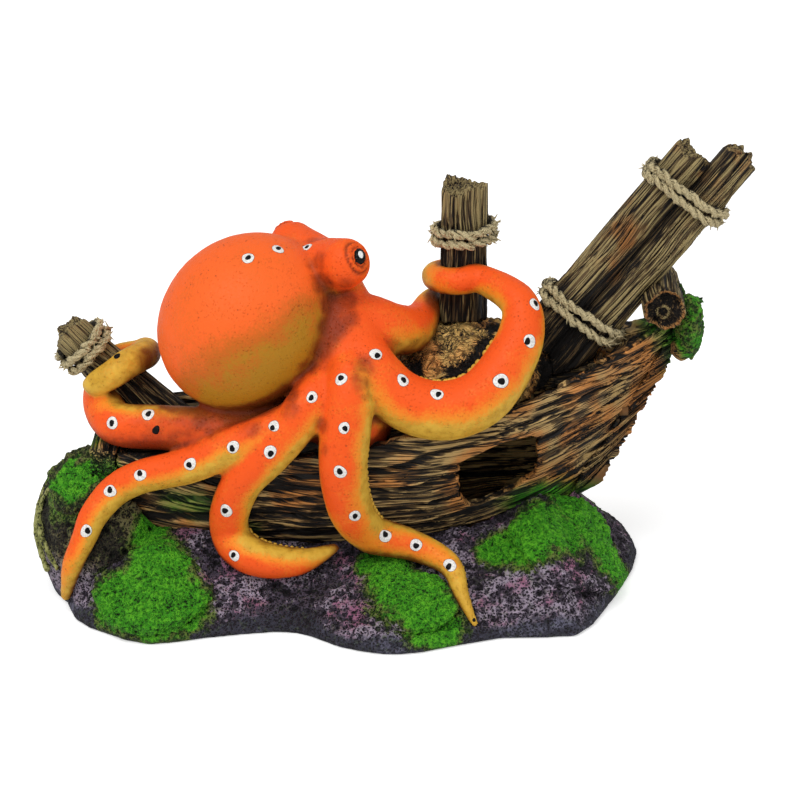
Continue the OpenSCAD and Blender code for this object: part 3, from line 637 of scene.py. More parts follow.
def round_ends(rows, steps=5):
    """Adds a rounded end to a curve of points and radii."""
    last = rows[-1]
    way = unit(last[:3] - rows[-2][:3])
    cap = [
        [*(last[:3] + way * last[3] * math.sin(a)), max(last[3] * math.cos(a), 0.02)]
        for a in np.linspace(0, math.pi / 2, steps + 1)[1:]
    ]
    return np.vstack([rows, cap])


def ball(middle, radii, turn=np.eye(3), rows=24, columns=48):
    points = []
    for i in range(rows + 1):
        a = -math.pi / 2 + math.pi * (i + 0.25) / (rows + 0.5)
        for j in range(columns):
            b = 2 * math.pi * j / columns
            way = (math.cos(a) * math.cos(b), math.cos(a) * math.sin(b), math.sin(a))
            points.append(turn @ (np.array(radii) * way))
    return np.array(points) + middle, tube_faces(rows + 1, columns)


# Marks placed by the photograph. Each table holds pixels across and down, with the mark's own values.

# White spots with a black dot, and the dots that stand alone: size.
SPOTS = [
    (248, 258, 1.0), (278, 249, 0.95), (307, 247, 0.85), (376, 354, 1.0), (341, 379, 1.0), (312, 397, 0.9),
    (148, 414, 1.05), (112, 423, 1.0), (274, 426, 0.9), (233, 447, 1.0), (190, 464, 1.0), (140, 475, 1.0),
    (110, 491, 1.0), (86, 531, 1.0), (270, 452, 1.05), (226, 511, 1.1), (234, 556, 0.9), (344, 428, 0.9),
    (340, 472, 1.05), (355, 516, 1.0), (385, 536, 1.05), (416, 545, 1.0), (450, 565, 1.05), (403, 380, 1.0),
    (437, 394, 1.0), (501, 381, 1.2), (530, 341, 1.05), (535, 304, 1.0),
]
DARK_DOTS = [(117, 356, 1.0), (156, 430, 1.1), (474, 620, 0.5)]
# Brown wash and painted shade in the octopus's creases: reach in millimetres and strength.
WASH_AND_SHADE_DABS = [
    (313, 240, 4, 0.5), (318, 262, 5, 0.6), (324, 284, 6, 0.8), (330, 306, 7, 1), (331, 328, 7, 1),
    (322, 348, 6, 0.9), (306, 366, 5, 0.7), (344, 300, 6, 0.8), (346, 318, 6, 0.7), (345, 285, 4, 0.6),
    (364, 366, 5, 0.6), (361, 382, 5, 0.6), (366, 394, 4, 0.4), (292, 396, 4, 0.7), (272, 405, 4, 0.8),
    (250, 413, 4, 0.9), (225, 415, 5, 0.9), (290, 408, 5, 0.5), (326, 238, 4, 0.4), (392, 346, 5, 0.5),
    (252, 428, 5, 0.5), (200, 418, 6, 0.8), (215, 430, 5, 0.7), (190, 436, 5, 0.6), (322, 425, 4, 0.6),
    (324, 450, 3, 0.5), (172, 425, 4, 0.4),
]
# Green stains on the near side of the hull: reach and strength.
HULL_DABS = [
    (176, 503, 6, 0.45), (196, 506, 7, 0.5), (222, 513, 6, 0.4), (250, 530, 5, 0.35), (520, 546, 5, 0.6),
    (500, 552, 5, 0.5), (560, 520, 5, 0.5),
]
# Painted shade on the heap of timber: reach and strength.
HEAP_SHADE_DABS = [
    (458, 380, 6, 0.9), (476, 368, 7, 0.9), (492, 350, 6, 0.8), (470, 318, 7, 0.7), (442, 320, 6, 0.5),
    (500, 330, 6, 0.7), (548, 348, 8, 0.8), (548, 376, 8, 0.9), (412, 372, 5, 0.6),
]
# Green dabbed on the ground: reach.
MOSS_DABS = [
    (150, 533, 5), (155, 548, 6.5), (160, 566, 8), (120, 598, 7.5), (150, 603, 9.5), (180, 603, 7.5),
    (155, 616, 5), (372, 564, 4), (390, 570, 6), (402, 584, 8), (415, 598, 8), (430, 612, 8), (442, 624, 6),
    (425, 585, 6), (500, 550, 5), (518, 537, 6), (527, 540, 7), (548, 520, 7), (557, 527, 8), (575, 503, 7),
    (587, 513, 8), (598, 498, 6), (603, 540, 8), (614, 560, 7), (622, 580, 5.5),
]
# Green on the far side, out of the photograph's sight: x, y and z of the middle, and the reach.
FAR_DABS = [(-45, 36, 12, 12), (-58, 33, 14, 10), (20, 40, 10, 14), (35, 37, 12, 10), (58, 28, 10, 10)]


def photo_ray(px, py):
    """Start and direction of the ray through a pixel of the photograph."""
    c, s = math.cos(CAMERA_ELEVATION), math.sin(CAMERA_ELEVATION)
    start = CAMERA_TARGET + CAMERA_DISTANCE * Vector((0, -c, s))
    scale = VIEW_WIDTH / PHOTO_SIZE
    middle = PHOTO_SIZE / 2
    at = CAMERA_TARGET + Vector((1, 0, 0)) * (px - middle) * scale + Vector((0, s, c)) * (middle - py) * scale
    return start, (at - start).normalized()


def dabs_on(tree, table):
    """The middle on a surface of each dab in a table, with the rest of its row."""
    found = []
    for px, py, *rest in table:
        at = tree.ray_cast(*photo_ray(px, py))[0]
        if at is not None:
            found.append((np.array(at) / MM, *rest))
    return found


def dab_share(points, tree, table):
    """How strongly the dabs of a table cover each point."""
    return np.max([
        share * step(reach, 0.2 * reach, np.linalg.norm(points - middle, axis=1))
        for middle, reach, share in dabs_on(tree, table)
    ], axis=0)


# Shader helpers.

# Where a noise lies on either side of its middle.
NOISE_HALF = 0.2
# The relief at which the wash gives way to the body colour, and the body colour to the dry brushing.
WASH_EDGE = (-0.75, 0.05)
BRUSH_EDGE = (0.2, 0.95)
# The same for the height of the wood's grain.
WOOD_WASH_EDGE = (0.33, 0.52)
WOOD_BRUSH_EDGE = (0.6, 0.76)
# Features to the millimetre along and across the grain, for the long ridges and for the hairlines.
RIDGE_SCALE = (0.017, 0.85, 0.85)
HAIR_SCALE = (0.045, 2.8, 2.8)


def new_material(name):
    material = bpy.data.materials.new(name)
    material.use_nodes = True
    tree = material.node_tree
    return material, tree, tree.nodes["Principled BSDF"]


def connect(tree, value, socket):
    """Links a socket, or sets a number, a vector or the three parts of a colour."""
    if isinstance(value, bpy.types.NodeSocket):
        tree.links.new(value, socket)
    elif socket.type == "RGBA":
        socket.default_value = (*value, 1)
    else:
        socket.default_value = value


def node(tree, kind, inputs=(), **settings):
    made = tree.nodes.new(kind)
    for key, value in settings.items():
        setattr(made, key, value)
    for key, value in dict(inputs).items():
        connect(tree, value, made.inputs[key])
    return made


def attribute(tree, name):
    return node(tree, "ShaderNodeAttribute", attribute_name=name).outputs["Fac"]


def mixed(tree, factor, a, b):
    """One colour over another."""
    made = node(tree, "ShaderNodeMix", {0: factor, 6: a, 7: b}, data_type="RGBA", clamp_factor=True)
    return made.outputs[2]


def ranged(tree, value, low, high, to_low=0.0, to_high=1.0):
    return node(tree, "ShaderNodeMapRange", {
        "Value": value, "From Min": low, "From Max": high, "To Min": to_low, "To Max": to_high
    }, interpolation_type="SMOOTHSTEP").outputs["Result"]


def swing(tree, value, low, high, half=NOISE_HALF):
    """Spreads a noise, which keeps near 0.5, from low to high."""
    return ranged(tree, value, 0.5 - half, 0.5 + half, low, high)


def sums(tree, operation, a, b=0.0):
    return node(tree, "ShaderNodeMath", {0: a, 1: b}, operation=operation).outputs[0]


def added(tree, value, *others):
    for other in others:
        value = sums(tree, "ADD", value, other)
    return value


def times(tree, a, b):
    return sums(tree, "MULTIPLY", a, b)


def vectors(tree, operation, a, b):
    return node(tree, "ShaderNodeVectorMath", {0: a, 1: b}, operation=operation).outputs[0]


def scaled(tree, vector, scale):
    return node(tree, "ShaderNodeMapping", {"Vector": vector, "Scale": scale}).outputs[0]


def object_place(tree):
    return node(tree, "ShaderNodeTexCoord").outputs["Object"]


def object_mm(tree):
    """The object's own coordinates, in millimetres."""
    return scaled(tree, object_place(tree), [1 / MM] * 3)


def noise_at(tree, vector, scale, detail, rough=0.5, output="Fac"):
    return node(tree, "ShaderNodeTexNoise", {
        "Vector": vector, "Scale": scale, "Detail": detail, "Roughness": rough
    }).outputs[output]


def cells_at(tree, vector, scale):
    return node(tree, "ShaderNodeTexVoronoi", {"Vector": vector, "Scale": scale}).outputs["Distance"]


def object_noise(tree, scale, detail=3.0):
    """Noise on the object's own coordinates, with scale in features to the millimetre."""
    return noise_at(tree, object_mm(tree), scale, detail, 0.55)


def group(name, inputs, outputs):
    """A new shader group. An input without a number is a colour, and so is the output named Color."""
    tree = bpy.data.node_groups.new(name, "ShaderNodeTree")
    for label, default in inputs.items():
        kind = "NodeSocketColor" if default is None else "NodeSocketFloat"
        socket = tree.interface.new_socket(label, in_out="INPUT", socket_type=kind)
        if default is not None:
            socket.default_value = default
    for label in outputs:
        kind = "NodeSocketColor" if label == "Color" else "NodeSocketFloat"
        tree.interface.new_socket(label, in_out="OUTPUT", socket_type=kind)
    return tree, tree.nodes.new("NodeGroupInput").outputs, tree.nodes.new("NodeGroupOutput").inputs


def dry_brush_group(name):
    """Dark wash in the recesses, body colour between, and dry brushing on the ridges."""
    inputs = {"Relief": 0.0, "Dark": None, "Body": None, "Light": None, "Breakup": 1.1}
    tree, inside, out = group(name, inputs, ("Color", "Roughness"))
    patchy = noise_at(tree, object_mm(tree), inside["Breakup"], 4.0, 0.6)
    ragged = added(tree, inside["Relief"], swing(tree, patchy, -0.35, 0.35))
    body = mixed(tree, ranged(tree, ragged, *WASH_EDGE), inside["Dark"], inside["Body"])
    connect(tree, mixed(tree, ranged(tree, ragged, *BRUSH_EDGE), body, inside["Light"]), out["Color"])
    connect(tree, swing(tree, patchy, 0.62, 0.85), out["Roughness"])
    return tree


def fleck_group(name):
    """Small specks on a surface."""
    tree, inside, out = group(name, {"Scale": 1.5, "Amount": 0.3}, ("Mask",))
    at = object_mm(tree)
    dot = ranged(tree, cells_at(tree, at, inside["Scale"]), 0.12, 0.3, 1.0, 0.0)
    few = ranged(tree, sums(tree, "SUBTRACT", noise_at(tree, at, 0.35, 2.0), inside["Amount"]), 0.1, 0.3)
    connect(tree, times(tree, dot, few), out["Mask"])
    return tree


def sponge_group(name):
    """Pores and walls of a coarse cast surface, as a height."""
    tree, inside, out = group(name, {"Scale": 0.9}, ("Height",))
    at = object_mm(tree)
    bent = vectors(tree, "ADD", at, noise_at(tree, at, 0.8, 2.0, output="Color"))
    walls = ranged(tree, cells_at(tree, bent, inside["Scale"]), 0.16, 0.62, 0.0, 0.62)
    connect(tree, added(tree, walls, swing(tree, noise_at(tree, at, 2.4, 3.0), 0.0, 0.38)), out["Height"])
    return tree


def wood_group(name):
    """Long ridges and hairlines along the grain: wash in the gaps, dry brushing on the ridges, moved lighter
    or darker by wear and painted shade.
    """
    inputs = {"Relief": 0.0, "Dark": None, "Body": None, "Light": None, "Wear And Shade": 0.0}
    tree, inside, out = group(name, inputs, ("Color", "Roughness", "Height"))
    grain = node(tree, "ShaderNodeAttribute", attribute_name="grain").outputs["Vector"]
    drift = vectors(tree, "MULTIPLY", noise_at(tree, grain, 0.04, 1.0, output="Color"), (0.0, 3.0, 3.0))
    bent = vectors(tree, "ADD", grain, drift)
    ridges = noise_at(tree, scaled(tree, bent, RIDGE_SCALE), 1.0, 1.0)
    hairs = noise_at(tree, scaled(tree, bent, HAIR_SCALE), 1.0, 2.0, 0.6)
    patchy = noise_at(tree, grain, 0.12, 3.0)
    ajar = sums(tree, "ABSOLUTE", sums(tree, "SUBTRACT", ridges, 0.5))
    height = added(
        tree, times(tree, ranged(tree, ajar, 0.0, 0.06), 0.5), ranged(tree, hairs, 0.32, 0.68, 0.0, 0.5)
    )
    # The wear and shade input moves the tone: wear, and painted shade where timbers meet or lie under other
    # pieces.
    wear_and_shade = added(
        tree, height, ranged(tree, inside["Relief"], -1.1, 0.9, -0.42, 0.2),
        swing(tree, patchy, -0.07, 0.07, 0.15), inside["Wear And Shade"]
    )
    body = mixed(tree, ranged(tree, wear_and_shade, *WOOD_WASH_EDGE), inside["Dark"], inside["Body"])
    connect(tree, mixed(tree, ranged(tree, wear_and_shade, *WOOD_BRUSH_EDGE), body, inside["Light"]), out["Color"])
    connect(tree, swing(tree, patchy, 0.55, 0.8), out["Roughness"])
    connect(tree, height, out["Height"])
    return tree


SHADER_GROUPS = {
    "Dry Brush": dry_brush_group, "Flecks": fleck_group, "Sponge": sponge_group, "Wood Grain": wood_group,
}


def use_group(tree, name, inputs):
    """Places a shared shader group, which is built when it is first used."""
    shared = bpy.data.node_groups.get(name) or SHADER_GROUPS[name](name)
    return node(tree, "ShaderNodeGroup", inputs, node_tree=shared).outputs


def brushed(tree, relief, dark, body, light, breakup=1.1):
    """Dry brushing on a relief: outputs for its colour and roughness."""
    return use_group(tree, "Dry Brush", {
        "Relief": relief, "Dark": dark, "Body": body, "Light": light, "Breakup": breakup
    })


def finish(tree, bsdf, coat, roughness, specular, height, strength, depth):
    """Connects a paint's colour, roughness and shine, and the fine relief in it."""
    connect(tree, coat, bsdf.inputs["Base Color"])
    connect(tree, roughness, bsdf.inputs["Roughness"])
    connect(tree, specular, bsdf.inputs["Specular IOR Level"])
    fine = node(tree, "ShaderNodeBump", {"Height": height, "Strength": strength, "Distance": depth})
    connect(tree, fine.outputs[0], bsdf.inputs["Normal"])


def shades(paint, share):
    return tuple(share * c for c in paint)


def wood_material(name, scene, tint_range, light, brown=1.0):
    """Weathered wood with orange patches, and green where the moss creeps on it."""
    wood, ground = scene.ornament_timber, scene.ornament_rock
    material, tree, bsdf = new_material(name)
    patch = ranged(tree, object_noise(tree, 0.06), *tint_range)
    patch = sums(tree, "MAXIMUM", patch, attribute(tree, "tint"))
    grained = use_group(tree, "Wood Grain", {
        "Relief": attribute(tree, "relief"), "Dark": wood.dark,
        "Body": mixed(tree, patch, shades(wood.brown, brown), shades(wood.orange, 0.4 * brown)),
        "Light": mixed(tree, patch, light, shades(wood.orange, max(light) / max(wood.ochre))),
        "Wear And Shade": attribute(tree, "wear_and_shade"),
    })
    green = use_group(tree, "Wood Grain", {
        "Relief": attribute(tree, "relief"), "Dark": ground.moss_dark, "Body": shades(ground.moss, 0.5),
        "Light": shades(ground.moss, 1.3), "Wear And Shade": 0.05
    })
    coat = mixed(tree, attribute(tree, "moss"), grained["Color"], green["Color"])
    finish(tree, bsdf, coat, grained["Roughness"], 0.3, grained["Height"], 1.0, 0.0009)
    return material


def painted_material(name, dark, body, light, tint=None, breakup=1.1, pores_scale=1.2):
    """Painted resin: wash, body and dry brushing, with a second colour in patches."""
    material, tree, bsdf = new_material(name)
    if tint is not None:
        body = mixed(tree, ranged(tree, object_noise(tree, 0.09), 0.6, 0.72), body, tint)
    height = use_group(tree, "Sponge", {"Scale": pores_scale})["Height"]
    relief = added(tree, attribute(tree, "relief"), ranged(tree, height, 0.2, 0.8, -0.6, 0.6))
    paint = brushed(tree, relief, dark, body, light, breakup)
    finish(tree, bsdf, paint["Color"], paint["Roughness"], 0.3, height, 0.8, 0.0005)
    return material


def plain_paint(name, paint, roughness, specular=0.35):
    """One smooth colour."""
    material, tree, bsdf = new_material(name)
    fine = object_noise(tree, 2.5)
    coat = mixed(tree, ranged(tree, fine, 0.35, 0.6), shades(paint, 0.72), paint)
    finish(tree, bsdf, coat, swing(tree, fine, roughness, roughness + 0.12), specular, fine, 0.4, 0.00005)
    return material


# The octopus.

# Burnt orange between the yellow and the orange, on the arms and on the mantle.
BURNT_ARMS = (0.88, 0.27, 0.02)
BURNT_BODY = (0.56, 0.13, 0.01)
# How far one form's paint runs into the next, in millimetres, from the body and from the arms.
BODY_FADE = 0.9
ARM_FADE = 0.7
# The mantle's mean radius, for the distance from its surface, and how much an arm's paint counts beside it.
MANTLE_SIZE = 21
ARM_WEIGHT = 1.5
# Each ring of an eyelid: radius, width and height in millimetres. An eyelid is narrower than it is tall.
LID_RINGS = ((3.2, 0.4, 0.5), (3.9, 0.4, -0.55), (2.5, 0.3, -0.44))
LID_NARROWING = 0.8
# How far hidden corners look for shelter, in metres, and the least part of a way that has to face outward.
SHELTER_REACH = 0.014
SHELTER_FACING = 0.35


class ORNAMENT_OT_octopus_skin(bpy.types.Operator):
    """Build the octopus's skin: mantle, head and eight arms as one cast surface"""

    bl_idname = "ornament.octopus_skin"
    bl_label = "Octopus skin"

    def execute(self, context):
        settings = context.scene.ornament_octopus
        arms = routes()
        skin = remesh(joined("octopus_skin", octopus_forms(arms)), settings.skin_voxel)
        paint_skin(skin, arms, eased(skin, 5))
        settle(
            skin, "octopus", skin_material(settings), "octopus_mantle", "octopus_head", "arm_stern_coil",
            "arm_long_left", "arm_hook", "arm_long_right", "arm_mast_coil", "arm_behind_mast",
            "arm_back_left", "arm_back_right"
        )
        return {"FINISHED"}


def octopus_forms(arms):
    """The mantle, the neck, the bridges to the eye swellings, the swellings, the brow and the arms."""
    brow = brow_middle()
    neck = spline([[*brow, BROW_RADIUS], *([*place(p), r] for p, r in zip(NECK, NECK_RADII))], 6)
    parts = [
        ball(place(MANTLE_MIDDLE), MANTLE_RADII, mantle_turn(), 40, 80),
        tube(neck[:, :3], neck[:, 3], 32, (1, 0, 0)),
    ]
    for eye in (place(NEAR_EYE), place(FAR_EYE)):
        bridge = np.linspace([*brow, BROW_RADIUS], [*eye, EYE_MOUND_RADIUS], 6)
        parts += [tube(bridge[:, :3], bridge[:, 3], 32), ball(eye, [EYE_MOUND_RADIUS] * 3)]
    parts.append(ball(brow, [BROW_RADIUS] * 3))
    for rows in map(round_ends, arms.values()):
        parts.append(tube(rows[:, :3], rows[:, 3], 24, (0, -1, 0)))
    return parts


def near_arm(points, rows):
    """Each point's distance from an arm, and the share of the arm's length where it is nearest."""
    clearance = np.full(len(points), np.inf)
    share = np.zeros(len(points))
    for i, row in enumerate(rows):
        away = np.linalg.norm(points - row[:3], axis=1) - row[3]
        nearer = away < clearance
        clearance[nearer] = away[nearer]
        share[nearer] = i / (len(rows) - 1)
    return clearance, share


def spray_on_arm(name, outward, share):
    """How much orange an arm has: most on its back, and little beyond where its yellow begins."""
    first, last, first_edge, last_edge, yellow_from, left_on = ARM_PAINT[name]
    turn = step(0.3, 0.65, share)
    back = (1 - turn[:, None]) * unit(first) + turn[:, None] * unit(last)
    edge = first_edge + (last_edge - first_edge) * turn
    spray = step(0, 0.92, dots(outward, back) - edge)
    return spray * (1 - (1 - left_on) * step(yellow_from, yellow_from + 0.33, share))


def paint_skin(skin, arms, points):
    """Stores where the orange was sprayed, where the ochre shows and where the brown wash and painted shade
    lie, and carves.
    """
    outward = normals(skin)
    near, far = place(NEAR_EYE), place(FAR_EYE)
    shell = np.linalg.norm((points - place(MANTLE_MIDDLE)) @ mantle_turn() / MANTLE_RADII, axis=1)
    on_body = np.exp(-np.maximum((shell - 1) * MANTLE_SIZE, 0) / BODY_FADE)
    heads = (
        (near, EYE_MOUND_RADIUS), (far, EYE_MOUND_RADIUS), ((near + far) / 2, BROW_RADIUS),
        (place(NECK[1]), NECK_RADII[1]), (place(NECK[2]), NECK_RADII[2])
    )
    crown = np.min([np.linalg.norm(points - middle, axis=1) - radius for middle, radius in heads], axis=0)
    on_head = np.exp(-np.maximum(crown, 0) / BODY_FADE)
    total = on_body + on_head
    orange = on_body * step(0.74, -0.22, outward @ unit(MANTLE_UNDERSIDE)) + on_head
    for name, rows in arms.items():
        clearance, share = near_arm(points, rows)
        weight = ARM_WEIGHT * np.exp(-np.maximum(clearance, 0) / ARM_FADE)
        # Painted shade on the stern arm: brown on its underside along the half nearest the body, and all
        # round close to the body.
        if name == "stern":
            low = step(0.25, -0.7, outward[:, 2]) * step(0.6, 0.4, share) + step(0.38, 0.12, share)
            brown = np.clip(low, 0, 1) * weight
        total += weight
        orange += weight * spray_on_arm(name, outward, share)
    hollow = dots(smoothed(skin, points, 40) - points, outward)
    wide = smoothed(skin, np.column_stack([hollow, orange / total, on_body / total]), 8)
    store(skin, "orange", wide[:, 1])
    store(skin, "body", wide[:, 2])
    # Brown wash and painted shade: darker where other surfaces hide the sky, in hollows, under the stern arm
    # and at the dabs.
    dabs = dab_share(points, surface_tree(skin), WASH_AND_SHADE_DABS)
    wash_and_shade = smoothed(skin, np.column_stack([sheltered(points, outward), hollow, brown / total]), 14)
    deep = 0.9 * step(0.1, 0.8, wash_and_shade[:, 0]) + 0.6 * step(0.08, 0.6, wash_and_shade[:, 1]) + 0.8 * wash_and_shade[:, 2]
    store(skin, "wash_and_shade", np.clip(np.maximum(deep, dabs), 0, 1))
    folds = np.abs(noise(points / (1.6, 3.0, 4.5), 11)) - 0.2
    carved = 0.05 * fractal(points / 1.3, 2, 3) + 0.12 * fractal(points / 6, 2, 5) - 0.5 * dabs * folds
    lid = np.zeros(len(points))
    for middle, gaze in ((near, NEAR_GAZE), (far, FAR_GAZE)):
        height = eyelid(points, middle, unit(gaze))
        carved += height
        lid += step(0.0, 0.4, -height)
    # Painted shade in the hollows and in the eyelids' grooves.
    store(skin, "crease_shade", np.clip(0.5 * step(0.12, 0.6, wide[:, 0]) + 0.65 * lid, 0, 1))
    put_coordinates(skin, points + outward * carved[:, None])


def sheltered(points, outward):
    """The share of the sky near each point that other surfaces hide."""
    tree = node_tree_of(frame["nodes"])
    corners = [np.array(corner) - 1.0 for corner in np.ndindex(3, 3, 3) if corner != (1, 1, 1)]
    ways = [Vector(corner).normalized() for corner in corners]
    facing = outward @ np.array(ways).T
    hidden = np.zeros(len(points))
    starts = (points + 1.2 * outward) * MM
    for i, start in enumerate(starts):
        start = Vector(start)
        for k in np.flatnonzero(facing[i] > SHELTER_FACING):
            if tree.ray_cast(start, ways[k], SHELTER_REACH)[0] is not None:
                hidden[i] += facing[i, k]
    return hidden / np.where(facing > SHELTER_FACING, facing, 0).sum(1)


def eyelid(points, middle, gaze):
    """Height of the carved lid: a raised rim and a fine groove round an upright oval."""
    side = unit(np.cross((0, 0, 1), gaze))
    up = np.cross(gaze, side)
    away = points - middle
    oval = np.hypot(away @ side / LID_NARROWING, away @ up)
    ahead = step(1.5, 3.5, away @ gaze)
    return ahead * sum(
        height * np.exp(-((oval - radius) / width) ** 2) for radius, width, height in LID_RINGS
    )


def skin_material(settings):
    """Yellow under orange spray, with a brown wash and painted shade, painted shade in the creases and small
    specks.
    """
    material, tree, bsdf = new_material("octopus_paint")
    body = attribute(tree, "body")
    fine = object_noise(tree, 1.6)
    streaky = object_noise(tree, 0.35)
    edge = added(
        tree, attribute(tree, "orange"), swing(tree, fine, -0.07, 0.07, 0.15),
        swing(tree, object_noise(tree, 0.12, 2.0), -0.12, 0.12, 0.15)
    )
    yellow = mixed(tree, swing(tree, streaky, 0.0, 0.5, 0.15), settings.yellow, settings.ochre)
    coat = mixed(
        tree, ranged(tree, edge, 0.05, 0.5), mixed(tree, body, yellow, settings.ochre),
        mixed(tree, body, BURNT_ARMS, BURNT_BODY)
    )
    orange = mixed(tree, body, settings.orange, settings.pale_orange)
    coat = mixed(tree, ranged(tree, edge, 0.4, 1.0), coat, orange)
    # Brown wash and painted shade laid over the paint.
    wash_and_shade = added(tree, attribute(tree, "wash_and_shade"), swing(tree, streaky, -0.1, 0.1))
    coat = mixed(tree, ranged(tree, wash_and_shade, 0.08, 0.95, 0.0, 0.85), coat, settings.wash_and_shade)
    flecks = use_group(tree, "Flecks", {"Scale": 0.9, "Amount": 0.42})["Mask"]
    # Small specks in the dark colour of the painted shade, then the painted shade in the hollows and the
    # eyelids' grooves.
    coat = mixed(tree, times(tree, flecks, 0.45), coat, settings.crease_shade)
    coat = mixed(tree, attribute(tree, "crease_shade"), coat, settings.crease_shade)
    pimples = use_group(tree, "Flecks", {"Scale": 1.3, "Amount": 0.25})["Mask"]
    height = added(tree, sums(tree, "SUBTRACT", fine, flecks), times(tree, pimples, 1.8))
    finish(tree, bsdf, coat, swing(tree, fine, 0.42, 0.6), 0.18, height, 0.6, 0.00022)
    return material


# The spots on the arms at the back: shares of the arm's length, their size, and the ray that finds each one
# from behind.
FAR_SPOT_SHARES = (0.3, 0.42, 0.54, 0.66, 0.78, 0.9)
FAR_SPOT_SIZE = 0.9
FAR_SHOT_FROM = Vector((0, 0.03, 0.008))
FAR_SHOT_WAY = Vector((0, -1, -0.2)).normalized()
# How proud of the skin each coat of a spot is, in metres, and how deep its edge sinks.
RIM_LIFT = 0.00006
WHITE_LIFT = 0.00014
BLACK_LIFT = 0.0003
EDGE_SINK = 0.00008


def decal(tree, at, outward, radius, lift, rings=4, sides=22, wobble=0.06, stretch=1.0, seed=0):
    """Points and faces of a small painted disc that follows the surface, a little proud of it."""
    rng = np.random.default_rng(seed)
    side = outward.cross(Vector((0.3, 0.2, 1))).normalized()
    up = outward.cross(side)
    angles = 2 * math.pi * np.arange(sides) / sides
    lumps = 1 + wobble * np.sin(2 * angles + 6 * rng.random())
    lumps += 0.6 * wobble * np.sin(3 * angles + 6 * rng.random())
    points = []
    for share in np.arange(rings + 1) / rings:
        for angle, lump in zip(angles, lumps):
            reach = radius * lump * max(share, 0.02)
            p = at + side * math.cos(angle) * reach + up * math.sin(angle) * reach * stretch
            near, normal, _, _ = tree.find_nearest(p)
            height = lift * (1 - share ** 4) - EDGE_SINK * share ** 4
            points.append(np.array(near + normal * height) / MM)
    faces = [face[::-1] for face in tube_faces(rings + 1, sides, False)]
    return np.array(points), [*faces, tuple(range(sides))]


class ORNAMENT_OT_octopus_spots(bpy.types.Operator):
    """Paint the white spots with black dots along the arms and mantle"""

    bl_idname = "ornament.octopus_spots"
    bl_label = "Octopus spots"

    def execute(self, context):
        settings = context.scene.ornament_octopus
        tree = surface_tree(bpy.data.objects["octopus_skin"])
        shots = [(*photo_ray(px, py), size, True) for px, py, size in SPOTS]
        shots += [(*photo_ray(px, py), size, False) for px, py, size in DARK_DOTS]
        arms = routes()
        for rows in (arms["back_left"], arms["back_right"]):
            for share in FAR_SPOT_SHARES:
                middle = rows[int(share * (len(rows) - 1)), :3]
                shots.append((Vector(middle * MM) + FAR_SHOT_FROM, FAR_SHOT_WAY, FAR_SPOT_SIZE, True))
        hits = [(*tree.ray_cast(start, way)[:2], size, ringed) for start, way, size, ringed in shots]
        rims, whites, blacks = [], [], []
        for index, (at, normal, size, ringed) in enumerate(hit for hit in hits if hit[0] is not None):
            rng = np.random.default_rng(index)
            dot_size = settings.pupil_radius * size
            if ringed:
                radius = settings.spot_radius * size
                rims.append(decal(tree, at, normal, 1.13 * radius, RIM_LIFT, seed=index))
                whites.append(decal(tree, at, normal, radius, WHITE_LIFT, seed=index))
                at, normal, _, _ = tree.find_nearest(at + Vector(rng.normal(size=3)) * 0.00022)
            else:
                dot_size *= 1.1
            blacks.append(decal(tree, at, normal, dot_size, BLACK_LIFT, 3, 16, 0.1, 1.1, index + 50))
        for name, parts, slot, paint in (
            ("spot_rims", rims, "octopus", plain_paint("rim_paint", (0.16, 0.035, 0.012), 0.5)),
            ("spot_rings", whites, "octopus", plain_paint("white_paint", (0.86, 0.85, 0.82), 0.42)),
            ("spot_dots", blacks, "eye", plain_paint("black_paint", (0.006, 0.005, 0.006), 0.4, 0.1)),
        ):
            settle(joined(name, parts), slot, paint)
        return {"FINISHED"}


class ORNAMENT_OT_octopus_eyes(bpy.types.Operator):
    """Set the two glossy black eyes with their white glints"""

    bl_idname = "ornament.octopus_eyes"
    bl_label = "Octopus eyes"

    def execute(self, context):
        settings = context.scene.ornament_octopus
        tree = surface_tree(bpy.data.objects["octopus_skin"])
        black = plain_paint("eye_gloss", (0.004, 0.004, 0.005), 0.12, 0.15)
        white = plain_paint("eye_glint", (0.9, 0.9, 0.88), 0.3)
        for name, middle, gaze, node_name in (
            ("near_eyeball", NEAR_EYE, NEAR_GAZE, "near_eye"), ("far_eyeball", FAR_EYE, FAR_GAZE, "far_eye")
        ):
            way = Vector(unit(gaze))
            at = tree.ray_cast(Vector(place(middle) * MM) + way * 0.02, -way)[0]
            dome = decal(tree, at, way, settings.eye_radius, settings.eye_height, 8, 32, 0.0, 1.3)
            eye = joined(name, [dome])
            settle(eye, "eye", black, node_name)
            eye_tree = surface_tree(eye)
            side = Vector((0, 0, 1)).cross(way).normalized()
            near = eye_tree.find_nearest(at + way * 0.001 - side * 0.0003 + Vector((0, 0, 0.0004)))[0]
            glint = decal(eye_tree, near, way, settings.glint_radius, 0.00012, 4, 24, 0.04, 1.25)
            settle(joined(name + "_glint", [glint]), "eye", white)
        return {"FINISHED"}


